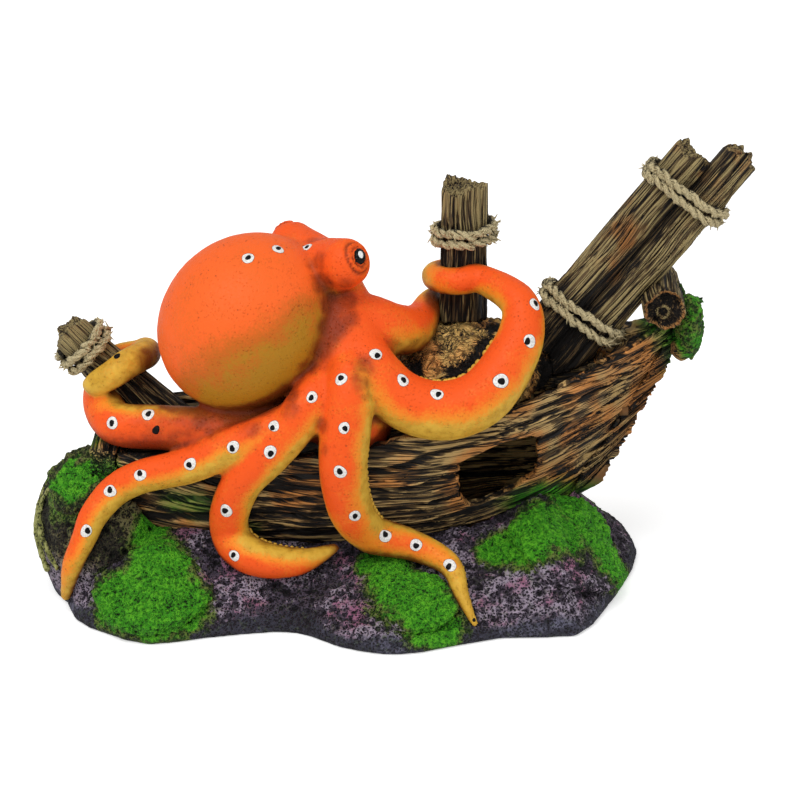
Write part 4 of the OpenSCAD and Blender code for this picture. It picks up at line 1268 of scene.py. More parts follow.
def sucker_tree():
    """Geometry nodes: a ball-shaped sucker on each point, sized and turned by the point's own values."""
    tree = bpy.data.node_groups.new("Suckers", "GeometryNodeTree")
    for label, way, kind in (
        ("Geometry", "INPUT", "Geometry"), ("Sucker Radius", "INPUT", "Float"),
        ("Material", "INPUT", "Material"), ("Geometry", "OUTPUT", "Geometry")
    ):
        tree.interface.new_socket(label, in_out=way, socket_type="NodeSocket" + kind)
    inside = node(tree, "NodeGroupInput").outputs
    shape = node(tree, "GeometryNodeMeshUVSphere", {
        "Segments": 10, "Rings": 6, "Radius": inside["Sucker Radius"]
    })
    flat = node(tree, "GeometryNodeTransform", {"Geometry": shape.outputs["Mesh"], "Scale": (1, 1, 0.75)})
    size, way = (
        node(tree, "GeometryNodeInputNamedAttribute", {"Name": name}, data_type=kind).outputs["Attribute"]
        for name, kind in (("size", "FLOAT"), ("way", "FLOAT_VECTOR"))
    )
    turn = node(tree, "FunctionNodeAlignRotationToVector", {"Vector": way}, axis="Z").outputs["Rotation"]
    placed = node(tree, "GeometryNodeInstanceOnPoints", {
        "Points": inside["Geometry"], "Instance": flat.outputs[0], "Rotation": turn, "Scale": size
    })
    real = node(tree, "GeometryNodeRealizeInstances", {"Geometry": placed.outputs[0]})
    smooth = node(tree, "GeometryNodeSetShadeSmooth", {"Geometry": real.outputs[0]})
    painted = node(tree, "GeometryNodeSetMaterial", {
        "Geometry": smooth.outputs[0], "Material": inside["Material"]
    })
    connect(tree, painted.outputs[0], node(tree, "NodeGroupOutput").inputs["Geometry"])
    return tree


def set_input(modifier, name, value):
    for item in modifier.node_group.interface.items_tree:
        if item.item_type == "SOCKET" and item.in_out == "INPUT" and item.name == name:
            modifier[item.identifier] = value


# Where suckers show: the arm, the first and last share of its length, and the side that they lie on.
SUCKER_ROWS = [
    ("right", 0.3, 0.97, (0.9, 0.35, 0.1)), ("hook", 0.25, 0.93, (0.5, 0.5, 0.75)),
    ("mast", 0.2, 0.52, (-0.5, 0.55, 0.75)), ("left", 0.35, 0.95, (0.5, 0.5, -0.7)),
    ("right", 0.55, 0.9, (-0.55, 0.35, -0.75)), ("hook", 0.5, 0.9, (-0.4, 0.5, -0.8)),
    ("back_left", 0.4, 0.95, (0.6, -0.5, -0.5)), ("back_right", 0.4, 0.95, (-0.6, -0.5, -0.5)),
]
# Radius of an arm that has suckers of full size, the least share of that size and the spacing of suckers.
FULL_SUCKER_ARM = 6.0
LEAST_SUCKER = 0.35
SUCKER_SPACING = 1.75
SUCKER_GAP = 0.25


class ORNAMENT_OT_octopus_suckers(bpy.types.Operator):
    """Line the undersides of the arms with suckers"""

    bl_idname = "ornament.octopus_suckers"
    bl_label = "Octopus suckers"

    def execute(self, context):
        settings = context.scene.ornament_octopus
        arms = routes()
        tree = surface_tree(bpy.data.objects["octopus_skin"])
        points, sizes, ways = [], [], []
        for name, first, last, towards in SUCKER_ROWS:
            rows = arms[name]
            ahead = np.linalg.norm(np.diff(rows[:, :3], axis=0), axis=1).cumsum()
            at = first * ahead[-1]
            while at < last * ahead[-1]:
                i = np.searchsorted(ahead, at)
                tangent = unit(rows[i + 1, :3] - rows[i, :3])
                out = unit(towards - np.dot(towards, tangent) * tangent)
                near, normal, _, _ = tree.find_nearest(Vector((rows[i, :3] + out * rows[i, 3]) * MM))
                size = max(LEAST_SUCKER, rows[i, 3] / FULL_SUCKER_ARM)
                points.append(np.array(near) / MM)
                sizes.append(size)
                ways.append(normal)
                at += SUCKER_SPACING * size + SUCKER_GAP
        cloud = mesh_object("suckers", points, [])
        store(cloud, "size", sizes)
        store_vectors(cloud, "way", ways)
        material = plain_paint("sucker_paint", settings.yellow, 0.5)
        modifier = cloud.modifiers.new("Suckers", "NODES")
        modifier.node_group = sucker_tree()
        set_input(modifier, "Sucker Radius", settings.sucker_radius)
        set_input(modifier, "Material", material)
        settle(applied(cloud), "octopus", material)
        return {"FINISHED"}


# The boat.

MOSS_NODES = (
    "moss_front_left", "moss_front_middle", "moss_front_right", "moss_stern", "moss_bow", "moss_bow_back"
)
# How far green creeps from the moss, in millimetres, on the hull, on the knot and on the outcrop.
HULL_CREEP = 7.0
KNOT_CREEP = 2.0
OUTCROP_CREEP = 5.0
# Rounds that find a point's shares of the length and of the side, and how far past the ends they may go.
SHARE_ROUNDS = 14
SHARE_LIMIT = 1.05
# The port's worn edge: how far it goes past the opening and how strong the orange is there.
RIM_SHARES = (0.3, 0.05)
RIM_TINT = 0.9
# The log's cut end, in millimetres: where its hollow begins and is full, how deep it is, and the ring in it.
HOLLOW_EDGE = (4.5, 3.9)
HOLLOW_DEPTH = 1.9
RING_MIDDLE = (-0.3, -0.9)
RING_RADIUS = 1.5
RING_WIDTH = 0.3
RING_HEIGHT = 1.1
# Size of the heap's splinters and depth of its relief, in millimetres.
SPLINTER_SIZE = 3.4
HEAP_DEPTH = 0.8


def streaks(along, cross, seed):
    """Height of weathered wood, from about -1 to 1. Along and cross are in millimetres."""
    cross = cross + 1.2 * grain_noise(along, cross, 34, 10, seed)[:, None]
    wide = grain_noise(along, cross, 60, 1.7, seed + 1)
    fine = grain_noise(along, cross, 30, 0.95, seed + 2)
    broken = step(-0.5, -0.1, grain_noise(along, cross, 18, 3, seed + 3))
    return 0.4 * wide + 0.5 * fine - step(0.19, 0.03, np.abs(wide)) * broken


def store_grain(piece, along, cross):
    """Keeps the coordinates along and across the grain, in millimetres, for the paint."""
    store_vectors(piece, "grain", np.column_stack([along, cross]))


def boat_share(points):
    """The share of the boat's length and of the side's height at each point."""
    x, z = points[:, 0], points[:, 2]
    u = np.clip((x - STERN_X) / BOAT_LENGTH, 0, 1)
    t = np.full(len(x), 0.5)
    for _ in range(SHARE_ROUNDS):
        rail = STERN_RAIL + (BOW_RAIL - STERN_RAIL) * u ** RAIL_POWER
        keel = KEEL + FOREFOOT * u ** KEEL_POWER
        t = np.clip((z - keel) / (rail - keel), 0, SHARE_LIMIT)
        u = np.clip((x - STERN_X + STEM_LEAN * (1 - t) * u ** STEM_POWER) / BOAT_LENGTH, 0, SHARE_LIMIT)
    return u, t


def side_height(u):
    """Height of the planked side at a share of the boat's length."""
    return STERN_SIDE + SIDE_GAIN * u


def hull_grain(points):
    """Coordinates along the planks and across them, and the shares of the boat's length and side."""
    u, t = boat_share(points)
    return points[:, 0] * 1.05, np.column_stack([t * side_height(u), 0.15 * points[:, 1]]), u, t


def hull_relief(along, cross, u, t, seed, groove):
    """Relief of lapped planks: their grain, their seams, small steps from one to the next, and chips."""
    strake = t * PLANKS + 0.3 * grain_noise(along, cross, 30, 9, seed + 9)
    seam = np.abs((strake + 0.5) % 1 - 0.5) * side_height(u) / PLANKS
    lift = 0.35 * noise(np.column_stack([along / 26, np.floor(strake), 0 * u]), seed + 5)
    chipped = 0.6 * step(0.42, 0.62, grain_noise(along, cross, 9, 2.4, seed + 6))
    chipped *= grain_noise(along, cross, 2.2, 1, seed + 7)
    return streaks(along, cross, seed) + lift + chipped - groove * step(1.0, 0.15, seam)


def moss_mask(points, reach, seed=15, nodes=MOSS_NODES):
    """How green each point is, from its distance to the moss."""
    tree = node_tree_of(nodes)
    away = np.array([tree.find_nearest(Vector(p * MM))[3] / MM for p in points])
    return step(reach, 0.3, away + 2.2 * fractal(points / 4, 2, seed))


def port_rim(points):
    """The worn edge of the port."""
    across = points[:, 0] - PORT_MIDDLE[0]
    up = points[:, 2] - PORT_MIDDLE[1] - PORT_SLOPE * across
    away = np.abs(((across / PORT_HALF[0]) ** 4 + (up / PORT_HALF[1]) ** 4) ** 0.25 - 1)
    return RIM_TINT * step(*RIM_SHARES, away + 0.08 * noise(points / 1.2, 17))


class ORNAMENT_OT_hull(bpy.types.Operator):
    """Carve the two planked sides, the stern board and the stem"""

    bl_idname = "ornament.hull"
    bl_label = "Hull"

    def execute(self, context):
        settings = context.scene.ornament_timber
        paint = wood_material("hull_paint", context.scene, (0.46, 0.62), shades(settings.ochre, 1.4))
        depth = settings.grain_depth / MM
        groove = settings.plank_groove / settings.grain_depth
        for name, node_name, coarse, seed in (
            ("near_planks", "hull_near_side", 1.0, 11), ("far_planks", "hull_far_side", 1.3, 31)
        ):
            side = copy_of(name, [node_name], settings.hull_voxel * coarse)
            points = eased(side, 2)
            along, cross, u, t = hull_grain(points)
            store_grain(side, along, cross)
            # Lighter towards the bow and darker towards the stern.
            store(side, "wear_and_shade", 0.19 * step(0.15, 0.85, u) - 0.07)
            green = moss_mask(points, HULL_CREEP)
            if node_name == "hull_near_side":
                store(side, "tint", port_rim(points))
                ragged = points + 1.5 * noise(points / (3, 1, 1), 17)[:, None]
                green = np.maximum(green, dab_share(ragged, node_tree_of([node_name]), HULL_DABS))
            store(side, "moss", green)
            carve(side, hull_relief(along, cross, u, t, seed, groove), depth)
            settle(side, "planks", paint, node_name)
        board = copy_of("stern_board", ["transom"], settings.hull_voxel * 1.2)
        points = coordinates(board)
        along, cross = points[:, 1], points[:, (2, 0)]
        store_grain(board, along, cross)
        store(board, "moss", moss_mask(points, HULL_CREEP))
        store(board, "wear_and_shade", -0.1)
        carve(board, streaks(along, cross, 41), depth)
        settle(board, "planks", paint, "transom")
        stem = copy_of("stem", ["stem_post"], settings.hull_voxel * 0.8)
        points = coordinates(stem)
        along, cross, u, t = hull_grain(points)
        store_grain(stem, along, cross)
        store(stem, "moss", moss_mask(points, HULL_CREEP))
        broken = 0.9 * noise(points / (2.2, 1.6, 0.9), 59) * step(0.3, 0.8, normals(stem)[:, 0])
        carve(stem, hull_relief(along, cross, u, t, 11, groove) + broken, depth)
        settle(stem, "planks", paint, "stem_post")
        return {"FINISHED"}


class ORNAMENT_OT_decks(bpy.types.Operator):
    """Carve the two decks into boards"""

    bl_idname = "ornament.decks"
    bl_label = "Decks"

    def execute(self, context):
        settings = context.scene.ornament_timber
        paint = wood_material("deck_paint", context.scene, (0.6, 0.75), shades(settings.ochre, 0.6), 0.55)
        for name, node_name, seed in (("after_boards", "aft_deck", 61), ("fore_boards", "foredeck", 71)):
            piece = copy_of(name, [node_name], settings.deck_voxel)
            points = coordinates(piece)
            along, cross = points[:, 0], points[:, 1:]
            seam = (0.5 - np.abs((points[:, 1] / BOARD_WIDTH) % 1 - 0.5)) * BOARD_WIDTH
            store_grain(piece, along, cross)
            carve(piece, streaks(along, cross, seed) - step(0.8, 0.2, seam), 0.6 * settings.grain_depth / MM)
            settle(piece, "planks", paint, node_name)
        return {"FINISHED"}


# Each timber's bark, its node and its seed.
TIMBERS = (
    ("mast_bark", "middle_mast_stump", 81), ("stump_bark", "stern_stump", 91),
    ("short_spar_bark", "short_spar", 101), ("long_spar_bark", "long_spar", 111),
    ("log_bark", "bow_log", 121),
)


class ORNAMENT_OT_timbers(bpy.types.Operator):
    """Flute the bark of the stumps, spars and log, and break their ends"""

    bl_idname = "ornament.timbers"
    bl_label = "Stumps and spars"

    def execute(self, context):
        settings = context.scene.ornament_timber
        paint = wood_material("bark_paint", context.scene, (0.57, 0.72), settings.bark)
        depth = settings.bark_depth / MM
        for name, node_name, seed in TIMBERS:
            piece = copy_of(name, [node_name], settings.bark_voxel)
            points = eased(piece, 3)
            middle = points.mean(0)
            way = np.linalg.svd((points - middle)[::7], full_matrices=False)[2][0]
            if way @ ((0, -1, 0) if node_name == "bow_log" else (0.1, 0, 1)) < 0:
                way = -way
            along = (points - middle) @ way
            cross = points - middle - along[:, None] * way
            flat_cross = cross @ side_frame(way)
            relief = streaks(along, flat_cross, seed)
            store_grain(piece, along, flat_cross)
            if node_name == "bow_log":
                end = step(0.55, 0.9, np.abs(normals(piece) @ way)) * (along > 0)
                cut_log(piece, points, cross, end, relief, depth)
            else:
                to_top = along.max() - along
                # Lighter near the top.
                wear_and_shade = 0.1 * step(12, 4, to_top) + 0.08
                if node_name.endswith("spar"):
                    inward = SPAR_SIDE if node_name == "short_spar" else -SPAR_SIDE
                    meeting = step(0.62, 0.95, normals(piece) @ inward)
                    relief = relief * (1 - meeting) + 0.5 * meeting
                    # Painted shade where the two spars face each other and towards their feet.
                    wear_and_shade = wear_and_shade - 0.6 * meeting - 0.35 * step(22, 14, along - along.min())
                else:
                    # Painted shade on the mast and the stump below the coiled arm.
                    wear_and_shade = wear_and_shade - 0.22 * step(13, 18, to_top)
                store(piece, "wear_and_shade", wear_and_shade)
                put_coordinates(piece, points + normals(piece) * (depth * relief)[:, None])
                store(piece, "relief", 0.6 * relief)
                ragged = step(5, 1, to_top) * (1.1 * noise(cross / 1.5, seed + 8) - 0.4)
                put_coordinates(piece, coordinates(piece) + ragged[:, None] * way)
            settle(piece, "bark", paint, node_name)
        knot = copy_of("knot_bark", ["bow_knot"], settings.bark_voxel)
        points = coordinates(knot)
        carve(knot, 1.3 * fractal(points / 2.2, 3, 131), depth)
        store_grain(knot, points[:, 0], points[:, 1:])
        store(knot, "tint", 0.7)
        store(knot, "moss", moss_mask(points, KNOT_CREEP))
        settle(knot, "bark", paint, "bow_knot")
        return {"FINISHED"}


def cut_log(piece, points, cross, end, relief, depth):
    """Flutes the log and sinks its cut end, with a small ring in it."""
    away = np.linalg.norm(cross, axis=1)
    from_ring = np.hypot(cross[:, 0] - RING_MIDDLE[0], cross[:, 2] - RING_MIDDLE[1]) - RING_RADIUS
    ring = np.exp(-(from_ring / RING_WIDTH) ** 2)
    inside = end * step(*HOLLOW_EDGE, away + 0.5 * noise(points / 1.5, 127))
    rough = 0.5 * noise(points / 0.9, 128)
    carved = relief * (1 - end) + 0.4 * end * rough
    store(piece, "relief", carved - 1.2 * inside)
    store(piece, "tint", end * (1 - inside))
    store(piece, "wear_and_shade", 0.3 * end * (1 - inside) - 0.12 * inside + 0.9 * inside * ring)
    sunk = inside * (HOLLOW_DEPTH + rough) - RING_HEIGHT * inside * ring
    put_coordinates(piece, points + normals(piece) * (depth * carved)[:, None] + sunk[:, None] * (0, 1, 0))


class ORNAMENT_OT_heap(bpy.types.Operator):
    """Break up the heap of timber round the mast"""

    bl_idname = "ornament.heap"
    bl_label = "Timber heap"

    def execute(self, context):
        settings = context.scene.ornament_timber
        heap = copy_of("heap_rubble", ["timber_heap"], settings.heap_voxel)
        points = coordinates(heap)
        along, cross, from_middle = chips(points, SPLINTER_SIZE, 141)
        fibres = grain_noise(along, cross, 5, 0.8, 145)
        relief = 0.9 * fractal(points / 3, 3, 143) + 1.3 * (0.4 - from_middle) + 0.9 * fibres
        store_grain(heap, along * 3, cross)
        # Painted shade: darker at the back and at the dabs.
        back = step(15, 21, points[:, 1])
        dark = dab_share(points, surface_tree(heap), HEAP_SHADE_DABS)
        store(heap, "wear_and_shade", 0.25 * noise(points / 5, 147) + 0.36 - 0.45 * back - 1.2 * dark)
        carve(heap, relief, HEAP_DEPTH)
        paint = wood_material("rubble_paint", context.scene, (0.44, 0.6), (0.72, 0.47, 0.15), 1.3)
        settle(heap, "rubble", paint, "timber_heap")
        return {"FINISHED"}


# Each lashing: the middle and the way of its timber, the side where a turn goes furthest, half the distance
# between two spars or nothing, the timber's radius and the node.
LASHINGS = (
    (
        "mast_twine", MAST_FOOT + 0.7 * MAST_LENGTH * MAST_WAY, MAST_WAY, (1, 0, 0), 0, 6.1,
        "middle_mast_lashing"
    ),
    (
        "stump_twine", STUMP_FOOT + 0.82 * STUMP_LENGTH * STUMP_WAY, STUMP_WAY, (0, 1, 0), 0,
        timber_radius(STUMP_RADII, 0.82), "stern_stump_lashing"
    ),
    (
        "upper_spar_twine", SPARS_FOOT + 0.865 * SPAR_LENGTH * SPAR_WAY, SPAR_WAY, SPAR_SIDE, SPAR_HALF_APART,
        SPAR_RADIUS, "upper_spar_lashing"
    ),
    (
        "lower_spar_twine", SPARS_FOOT + 0.34 * SPAR_LENGTH * SPAR_WAY, SPAR_WAY, SPAR_SIDE, SPAR_HALF_APART,
        SPAR_RADIUS, "lower_spar_lashing"
    ),
)
TWINE_TURNS = 2
TWINE_STEPS = 90
TWINE_PITCH = 2.6
TWINE_START = math.radians(105)
STRAND_SIDES = 8
# Each strand's girth, its distance from the twine's middle line and the length of its lay, in millimetres.
STRANDS = ((1.0, 0.8, 5.6), (1.0, 0.8, 5.6), (0.6, 1.5, 9.0))
FIBRES = 130
FIBRE_RADII = (0.28, 0.22, 0.08)
FIBRE_SIDES = 5


def wound_path(middle, way, side, half_apart, radius):
    """The middle line of twine that is wound round one timber, or round two side by side."""
    turn = np.arange(TWINE_TURNS * TWINE_STEPS + 1)[:, None] / TWINE_STEPS
    angle = 2 * math.pi * turn + TWINE_START
    outwards = half_apart * np.tanh(3 * np.cos(angle)) + radius * np.cos(angle)
    upwards = radius * np.sin(angle)
    along = TWINE_PITCH * (turn - TWINE_TURNS / 2)
    return middle + outwards * side + upwards * np.cross(way, side) + along * way


def run_noise(run, size, row, seed):
    """Noise along a twine. Each row is another noise."""
    return noise(np.column_stack([run / size, 0 * run + row, 0 * run]), seed)


class ORNAMENT_OT_lashings(bpy.types.Operator):
    """Wind the twisted twine round the stumps and spars"""

    bl_idname = "ornament.lashings"
    bl_label = "Lashings"

    def execute(self, context):
        settings = context.scene.ornament_timber
        paint = painted_material(
            "twine_paint", (0.025, 0.02, 0.012), settings.rope, shades(settings.rope, 1.6), breakup=1.6,
            pores_scale=2.0
        )
        strand = settings.strand_radius / MM
        for index, (name, middle, way, side, half_apart, timber, node_name) in enumerate(LASHINGS):
            rng = np.random.default_rng(index)
            path = wound_path(middle, way, np.array(side), half_apart, timber + 1.5 * strand)
            path += 0.7 * run_noise(np.arange(len(path)), 13, 3.7 * index, 5)[:, None] * way
            tangents, v, w = carried_frames(path, way)
            outward = path - middle - ((path - middle) @ way)[:, None] * way
            if half_apart:
                outward -= (outward @ side)[:, None] * side
            outward /= np.maximum(np.linalg.norm(outward, axis=1), 0.5)[:, None]
            run = np.r_[0, np.linalg.norm(np.diff(path, axis=0), axis=1).cumsum()]
            parts, depths = [], []
            for row, (girth, slack, lay) in enumerate(STRANDS):
                a = 2 * math.pi * (run / lay + row / 2)[:, None]
                reach = slack * strand * (1 + 0.8 * run_noise(run, 2.6, row, index + 9))
                radii = girth * strand * (1 + 0.5 * run_noise(run, 1.2, row, index + 19))
                offset = reach[:, None] * (np.cos(a) * v + np.sin(a) * w)
                parts.append(tube(path + offset, radii, STRAND_SIDES, way))
                away = parts[-1][0] - np.repeat(path, STRAND_SIDES, axis=0)
                depths.append(dots(away, np.repeat(outward, STRAND_SIDES, axis=0)))
            for _ in range(FIBRES):
                i = rng.integers(2, len(path) - 2)
                lean = unit(rng.normal(size=3) * 0.8 + tangents[i] * 1.3 + outward[i] * 0.5)
                start = path[i] + outward[i] * strand * 1.2
                bend = np.array([start, start + lean * 0.9, start + lean * 1.8 + way * rng.normal() * 0.5])
                parts.append(tube(bend, FIBRE_RADII, FIBRE_SIDES))
                depths.append(np.full(len(parts[-1][0]), 1.2))
            twine = joined(name, parts)
            relief = 1.2 * np.concatenate(depths) / strand - 0.45
            store(twine, "relief", relief + 0.7 * noise(coordinates(twine) / 1.1, 7))
            shade_smooth(twine)
            settle(twine, "rope", paint, node_name)
        return {"FINISHED"}


# The ground.

class ORNAMENT_OT_rock(bpy.types.Operator):
    """Pit the rock base and the outcrop with pores"""

    bl_idname = "ornament.rock"
    bl_label = "Rock"

    def execute(self, context):
        settings = context.scene.ornament_rock
        rock = copy_of("rock_stone", ["rock_base", "stern_outcrop"], settings.rock_voxel)
        points = eased(rock, 3)
        x, _, z = points.T
        relief = 0.9 * fractal(points / 6, 4, 153) + 0.4 * noise(points / 1.2, 157) + 0.2
        relief -= step(0.4, 0.14, pores(points / 2.6, 151)) + 0.5 * step(0.42, 0.18, pores(points / 1.5, 152))
        relief *= 0.2 + 0.8 * step(1.5, 6.0, z + noise(points / 9, 158))
        depth = settings.pore_depth / MM * step(0.0, 0.6, z)
        carve(rock, relief, depth)
        green = np.maximum(green_share(points), 0.5 * moss_mask(points, OUTCROP_CREEP, 161, ["moss_stern"]))
        store(rock, "moss", green)
        store(rock, "shade", step(-38, -52, x + 4 * noise(points / 7, 163)) * step(9, 16, z))
        settle(rock, "rock", ground_material(settings), "rock_base", "stern_outcrop")
        return {"FINISHED"}


def green_share(points):
    """How green the ground is, from its place among the dabs of green."""
    tree = node_tree_of([
        "rock_base", "stern_outcrop", "moss_front_left", "moss_front_middle", "moss_front_right"
    ])
    dabs = [(at, reach) for *at, reach in FAR_DABS] + dabs_on(tree, MOSS_DABS)
    inside = np.max([1 - np.linalg.norm(points - middle, axis=1) / reach for middle, reach in dabs], axis=0)
    return step(-0.6, 0.45, inside + 0.35 * fractal(points / 4, 3, 159))


def ground_material(settings):
    """Rock and moss: purple stone with pale ridges, a smooth dark rim, olive edges and bright green."""
    material, tree, bsdf = new_material("ground_paint")
    relief = attribute(tree, "relief")
    drift = object_noise(tree, 0.08)
    level = node(tree, "ShaderNodeSeparateXYZ", {"Vector": object_place(tree)}).outputs["Z"]
    rim = ranged(tree, added(tree, level, swing(tree, drift, -0.0015, 0.0015)), 0.003, 0.0055, 1.0, 0.0)
    stone = mixed(tree, ranged(tree, drift, 0.42, 0.6), settings.stone, shades(settings.stone, 0.6))
    pink = ranged(tree, object_noise(tree, 0.11), 0.5, 0.62)
    lilac = mixed(tree, times(tree, pink, 0.75), settings.lilac, settings.pink)
    height = use_group(tree, "Sponge", {"Scale": 1.6})["Height"]
    pitted = added(tree, relief, ranged(tree, height, 0.2, 0.8, -0.75, 0.65))
    stony = added(tree, pitted, ranged(tree, object_noise(tree, 0.06, 4.0), 0.38, 0.62, -0.75, 0.12))
    tufted = added(tree, times(tree, relief, 0.7), ranged(tree, height, 0.2, 0.8, -0.25, 0.55))
    rock = brushed(tree, stony, settings.dark, stone, lilac, 0.9)
    smooth_rim = brushed(
        tree, times(tree, stony, 0.7), shades(settings.dark, 1.5), shades(settings.blue, 0.5),
        shades(settings.blue, 1.7), 0.5
    )
    shade = brushed(tree, stony, (0.006, 0.005, 0.004), (0.03, 0.025, 0.015), (0.17, 0.15, 0.065), 0.6)
    olive = brushed(tree, pitted, settings.moss_dark, (0.035, 0.06, 0.012), (0.14, 0.2, 0.035), 0.9)
    green = brushed(tree, tufted, settings.moss_dark, settings.moss, (0.11, 0.46, 0.015), 0.8)
    mossy = added(tree, attribute(tree, "moss"), swing(tree, object_noise(tree, 0.8), -0.14, 0.14, 0.15))
    coat = mixed(tree, rim, rock["Color"], smooth_rim["Color"])
    coat = mixed(tree, attribute(tree, "shade"), coat, shade["Color"])
    coat = mixed(tree, ranged(tree, mossy, 0.04, 0.4), coat, olive["Color"])
    coat = mixed(tree, ranged(tree, mossy, 0.42, 0.88), coat, green["Color"])
    finish(tree, bsdf, coat, rock["Roughness"], 0.25, height, 1.0, 0.0008)
    return material


class ORNAMENT_OT_moss(bpy.types.Operator):
    """Raise the tufts of moss on the rock and at the bow"""

    bl_idname = "ornament.moss"
    bl_label = "Moss"

    def execute(self, context):
        settings = context.scene.ornament_rock
        for seed, node_name in enumerate(sorted(MOSS_NODES)):
            piece = copy_of(node_name.replace("moss_", "tufts_"), [node_name], settings.moss_voxel)
            points = eased(piece, 4)
            relief = 0.8 * noise(points / 1.3, 160 + seed) + 0.5 * noise(points / 0.7, 170 + seed)
            relief += 0.6 * noise(points / 4.0, 180 + seed)
            relief -= 0.8 * step(0.35, 0.1, pores(points / 2.6, 190 + seed))
            if "front" in node_name:
                store(piece, "moss", green_share(points))
                store(piece, "shade", 0)
            else:
                half = 0.5 * np.ptp(points, axis=0) + 0.1
                away = np.linalg.norm((points - points.mean(0)) / half, axis=1)
                edge = step(0.55, 1.0, away + 0.5 * fractal(points / 4, 2, 165))
                store(piece, "moss", 1 - (0.8 if node_name == "moss_stern" else 0.5) * edge)
                store(piece, "shade", 1)
            carve(piece, relief, settings.tuft_height / MM)
            settle(piece, "moss", bpy.data.materials["ground_paint"], node_name)
        return {"FINISHED"}


class ORNAMENT_OT_vines(bpy.types.Operator):
    """Twist the two vines down the outcrop"""

    bl_idname = "ornament.vines"
    bl_label = "Vines"

    def execute(self, context):
        settings = context.scene.ornament_rock
        piece = copy_of("vine_strands", ["vines"], settings.vine_voxel)
        points = eased(piece, 4)
        relief = noise(points / (1.4, 1.4, 2.6), 201) + 0.5 * noise(points / 0.5, 203)
        carve(piece, relief, settings.vine_depth / MM)
        paint = painted_material(
            "vine_paint", (0.02, 0.022, 0.008), settings.vine, (0.36, 0.36, 0.13), settings.moss
        )
        settle(piece, "vine", paint, "vines")
        return {"FINISHED"}


# The studio. Places and sizes of the lamps are in metres.

KEY_PLACE = (-0.9, -1.35, 2.45)
KEY_SIZE = 2.1
FILL_PLACE = (1.7, -1.3, 1.5)
FILL_SIZE = 1.8


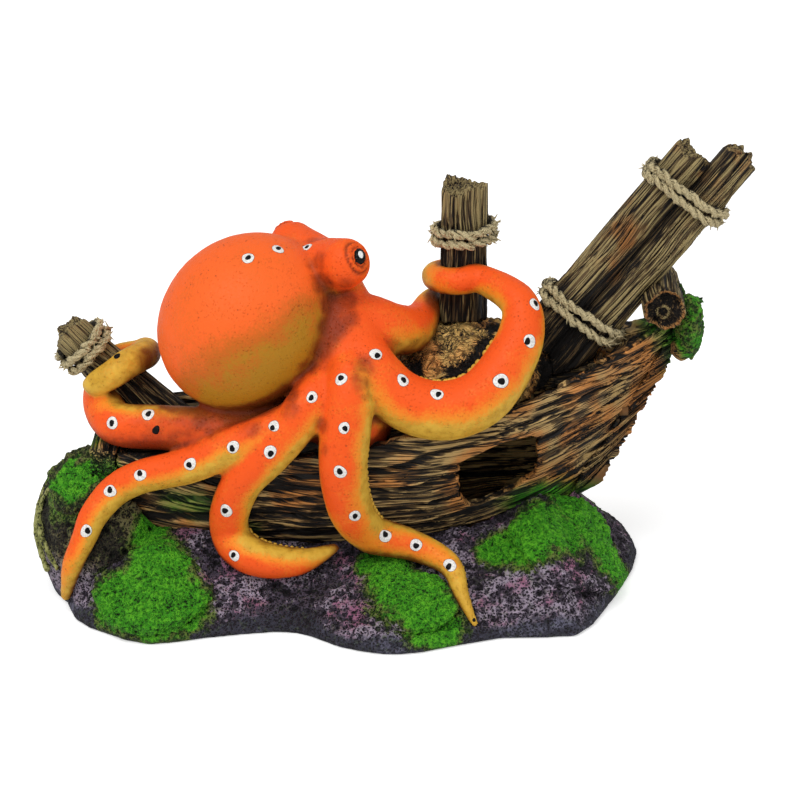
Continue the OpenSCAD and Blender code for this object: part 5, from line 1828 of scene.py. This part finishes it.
class ORNAMENT_OT_stage(bpy.types.Operator):
    """Lay the pale floor, hang the soft lamps and set the camera at the photograph's angle"""

    bl_idname = "ornament.stage"
    bl_label = "Studio"

    def execute(self, context):
        settings = context.scene.ornament_stage
        scene = context.scene
        self.lay_floor(settings)
        world = bpy.data.worlds.new("studio")
        scene.world = world
        world.use_nodes = True
        background = world.node_tree.nodes["Background"]
        background.inputs["Color"].default_value = (1, 1, 1, 1)
        seen = node(world.node_tree, "ShaderNodeLightPath").outputs["Is Camera Ray"]
        light = sums(world.node_tree, "MAXIMUM", seen, settings.world_strength)
        connect(world.node_tree, light, background.inputs["Strength"])
        for name, watts, at, size in (
            ("key_lamp", settings.key_watts, KEY_PLACE, KEY_SIZE),
            ("fill_lamp", settings.fill_watts, FILL_PLACE, FILL_SIZE),
        ):
            lamp = bpy.data.lights.new(name, "AREA")
            lamp.energy = watts
            lamp.size = size
            self.aim(name, lamp, Vector(at))
        camera = bpy.data.cameras.new("camera")
        camera.sensor_width = SENSOR_WIDTH
        camera.lens = SENSOR_WIDTH * CAMERA_DISTANCE / VIEW_WIDTH
        camera.clip_start = 0.01
        back = Vector((0, -math.cos(CAMERA_ELEVATION), math.sin(CAMERA_ELEVATION)))
        scene.camera = self.aim("camera", camera, CAMERA_TARGET + CAMERA_DISTANCE * back)
        scene.view_settings.view_transform = "Standard"
        return {"FINISHED"}

    def lay_floor(self, settings):
        half = settings.floor_half
        corners = [(-half, -half, 0), (half, -half, 0), (half, half, 0), (-half, half, 0)]
        mesh = bpy.data.meshes.new("floor")
        mesh.from_pydata(corners, [], [(0, 1, 2, 3)])
        floor = add_object("floor", mesh)
        material, tree, bsdf = new_material("floor_paper")
        tint = mixed(tree, object_noise(tree, 0.01, 2.0), settings.floor, shades(settings.floor, 0.985))
        seen = node(tree, "ShaderNodeLightPath").outputs["Is Camera Ray"]
        for value, name in (
            (tint, "Base Color"), (0.9, "Roughness"), (0.0, "Specular IOR Level"),
            ((1, 1, 1), "Emission Color"), (times(tree, seen, settings.floor_glow), "Emission Strength")
        ):
            connect(tree, value, bsdf.inputs[name])
        mesh.materials.append(material)

    def aim(self, name, data, at):
        """Places a lamp or a camera, and turns it towards the ornament."""
        holder = add_object(name, data)
        holder.location = at
        holder.rotation_euler = (CAMERA_TARGET - at).to_track_quat("-Z", "Y").to_euler()
        return holder


class ORNAMENT_PT_panel(bpy.types.Panel):
    """Lists the buttons that build the ornament's pieces"""

    bl_label = "Ornament"
    bl_idname = "ORNAMENT_PT_panel"
    bl_space_type = "VIEW_3D"
    bl_region_type = "UI"
    bl_category = "Ornament"

    def draw(self, context):
        for operator in OPERATORS:
            self.layout.operator(operator.bl_idname)


SETTINGS = {
    "ornament_octopus": OctopusSettings, "ornament_timber": TimberSettings,
    "ornament_rock": RockSettings, "ornament_stage": StageSettings,
}
OPERATORS = [
    ORNAMENT_OT_stage, ORNAMENT_OT_octopus_skin, ORNAMENT_OT_octopus_eyes, ORNAMENT_OT_octopus_spots,
    ORNAMENT_OT_octopus_suckers, ORNAMENT_OT_hull, ORNAMENT_OT_decks, ORNAMENT_OT_timbers, ORNAMENT_OT_heap,
    ORNAMENT_OT_lashings, ORNAMENT_OT_rock, ORNAMENT_OT_moss, ORNAMENT_OT_vines,
]


def register():
    for cls in [*SETTINGS.values(), *OPERATORS, ORNAMENT_PT_panel]:
        bpy.utils.register_class(cls)
    for name, cls in SETTINGS.items():
        setattr(bpy.types.Scene, name, PointerProperty(type=cls))


def unregister():
    for name in SETTINGS:
        delattr(bpy.types.Scene, name)
    for cls in reversed([*SETTINGS.values(), *OPERATORS, ORNAMENT_PT_panel]):
        bpy.utils.unregister_class(cls)


def main():
    register()
    bpy.ops.ornament.stage()
    bpy.ops.ornament.octopus_skin()
    bpy.ops.ornament.octopus_eyes()
    bpy.ops.ornament.octopus_spots()
    bpy.ops.ornament.octopus_suckers()
    bpy.ops.ornament.hull()
    bpy.ops.ornament.decks()
    bpy.ops.ornament.timbers()
    bpy.ops.ornament.heap()
    bpy.ops.ornament.lashings()
    bpy.ops.ornament.rock()
    bpy.ops.ornament.moss()
    bpy.ops.ornament.vines()


if __name__ == "__main__":
    main()
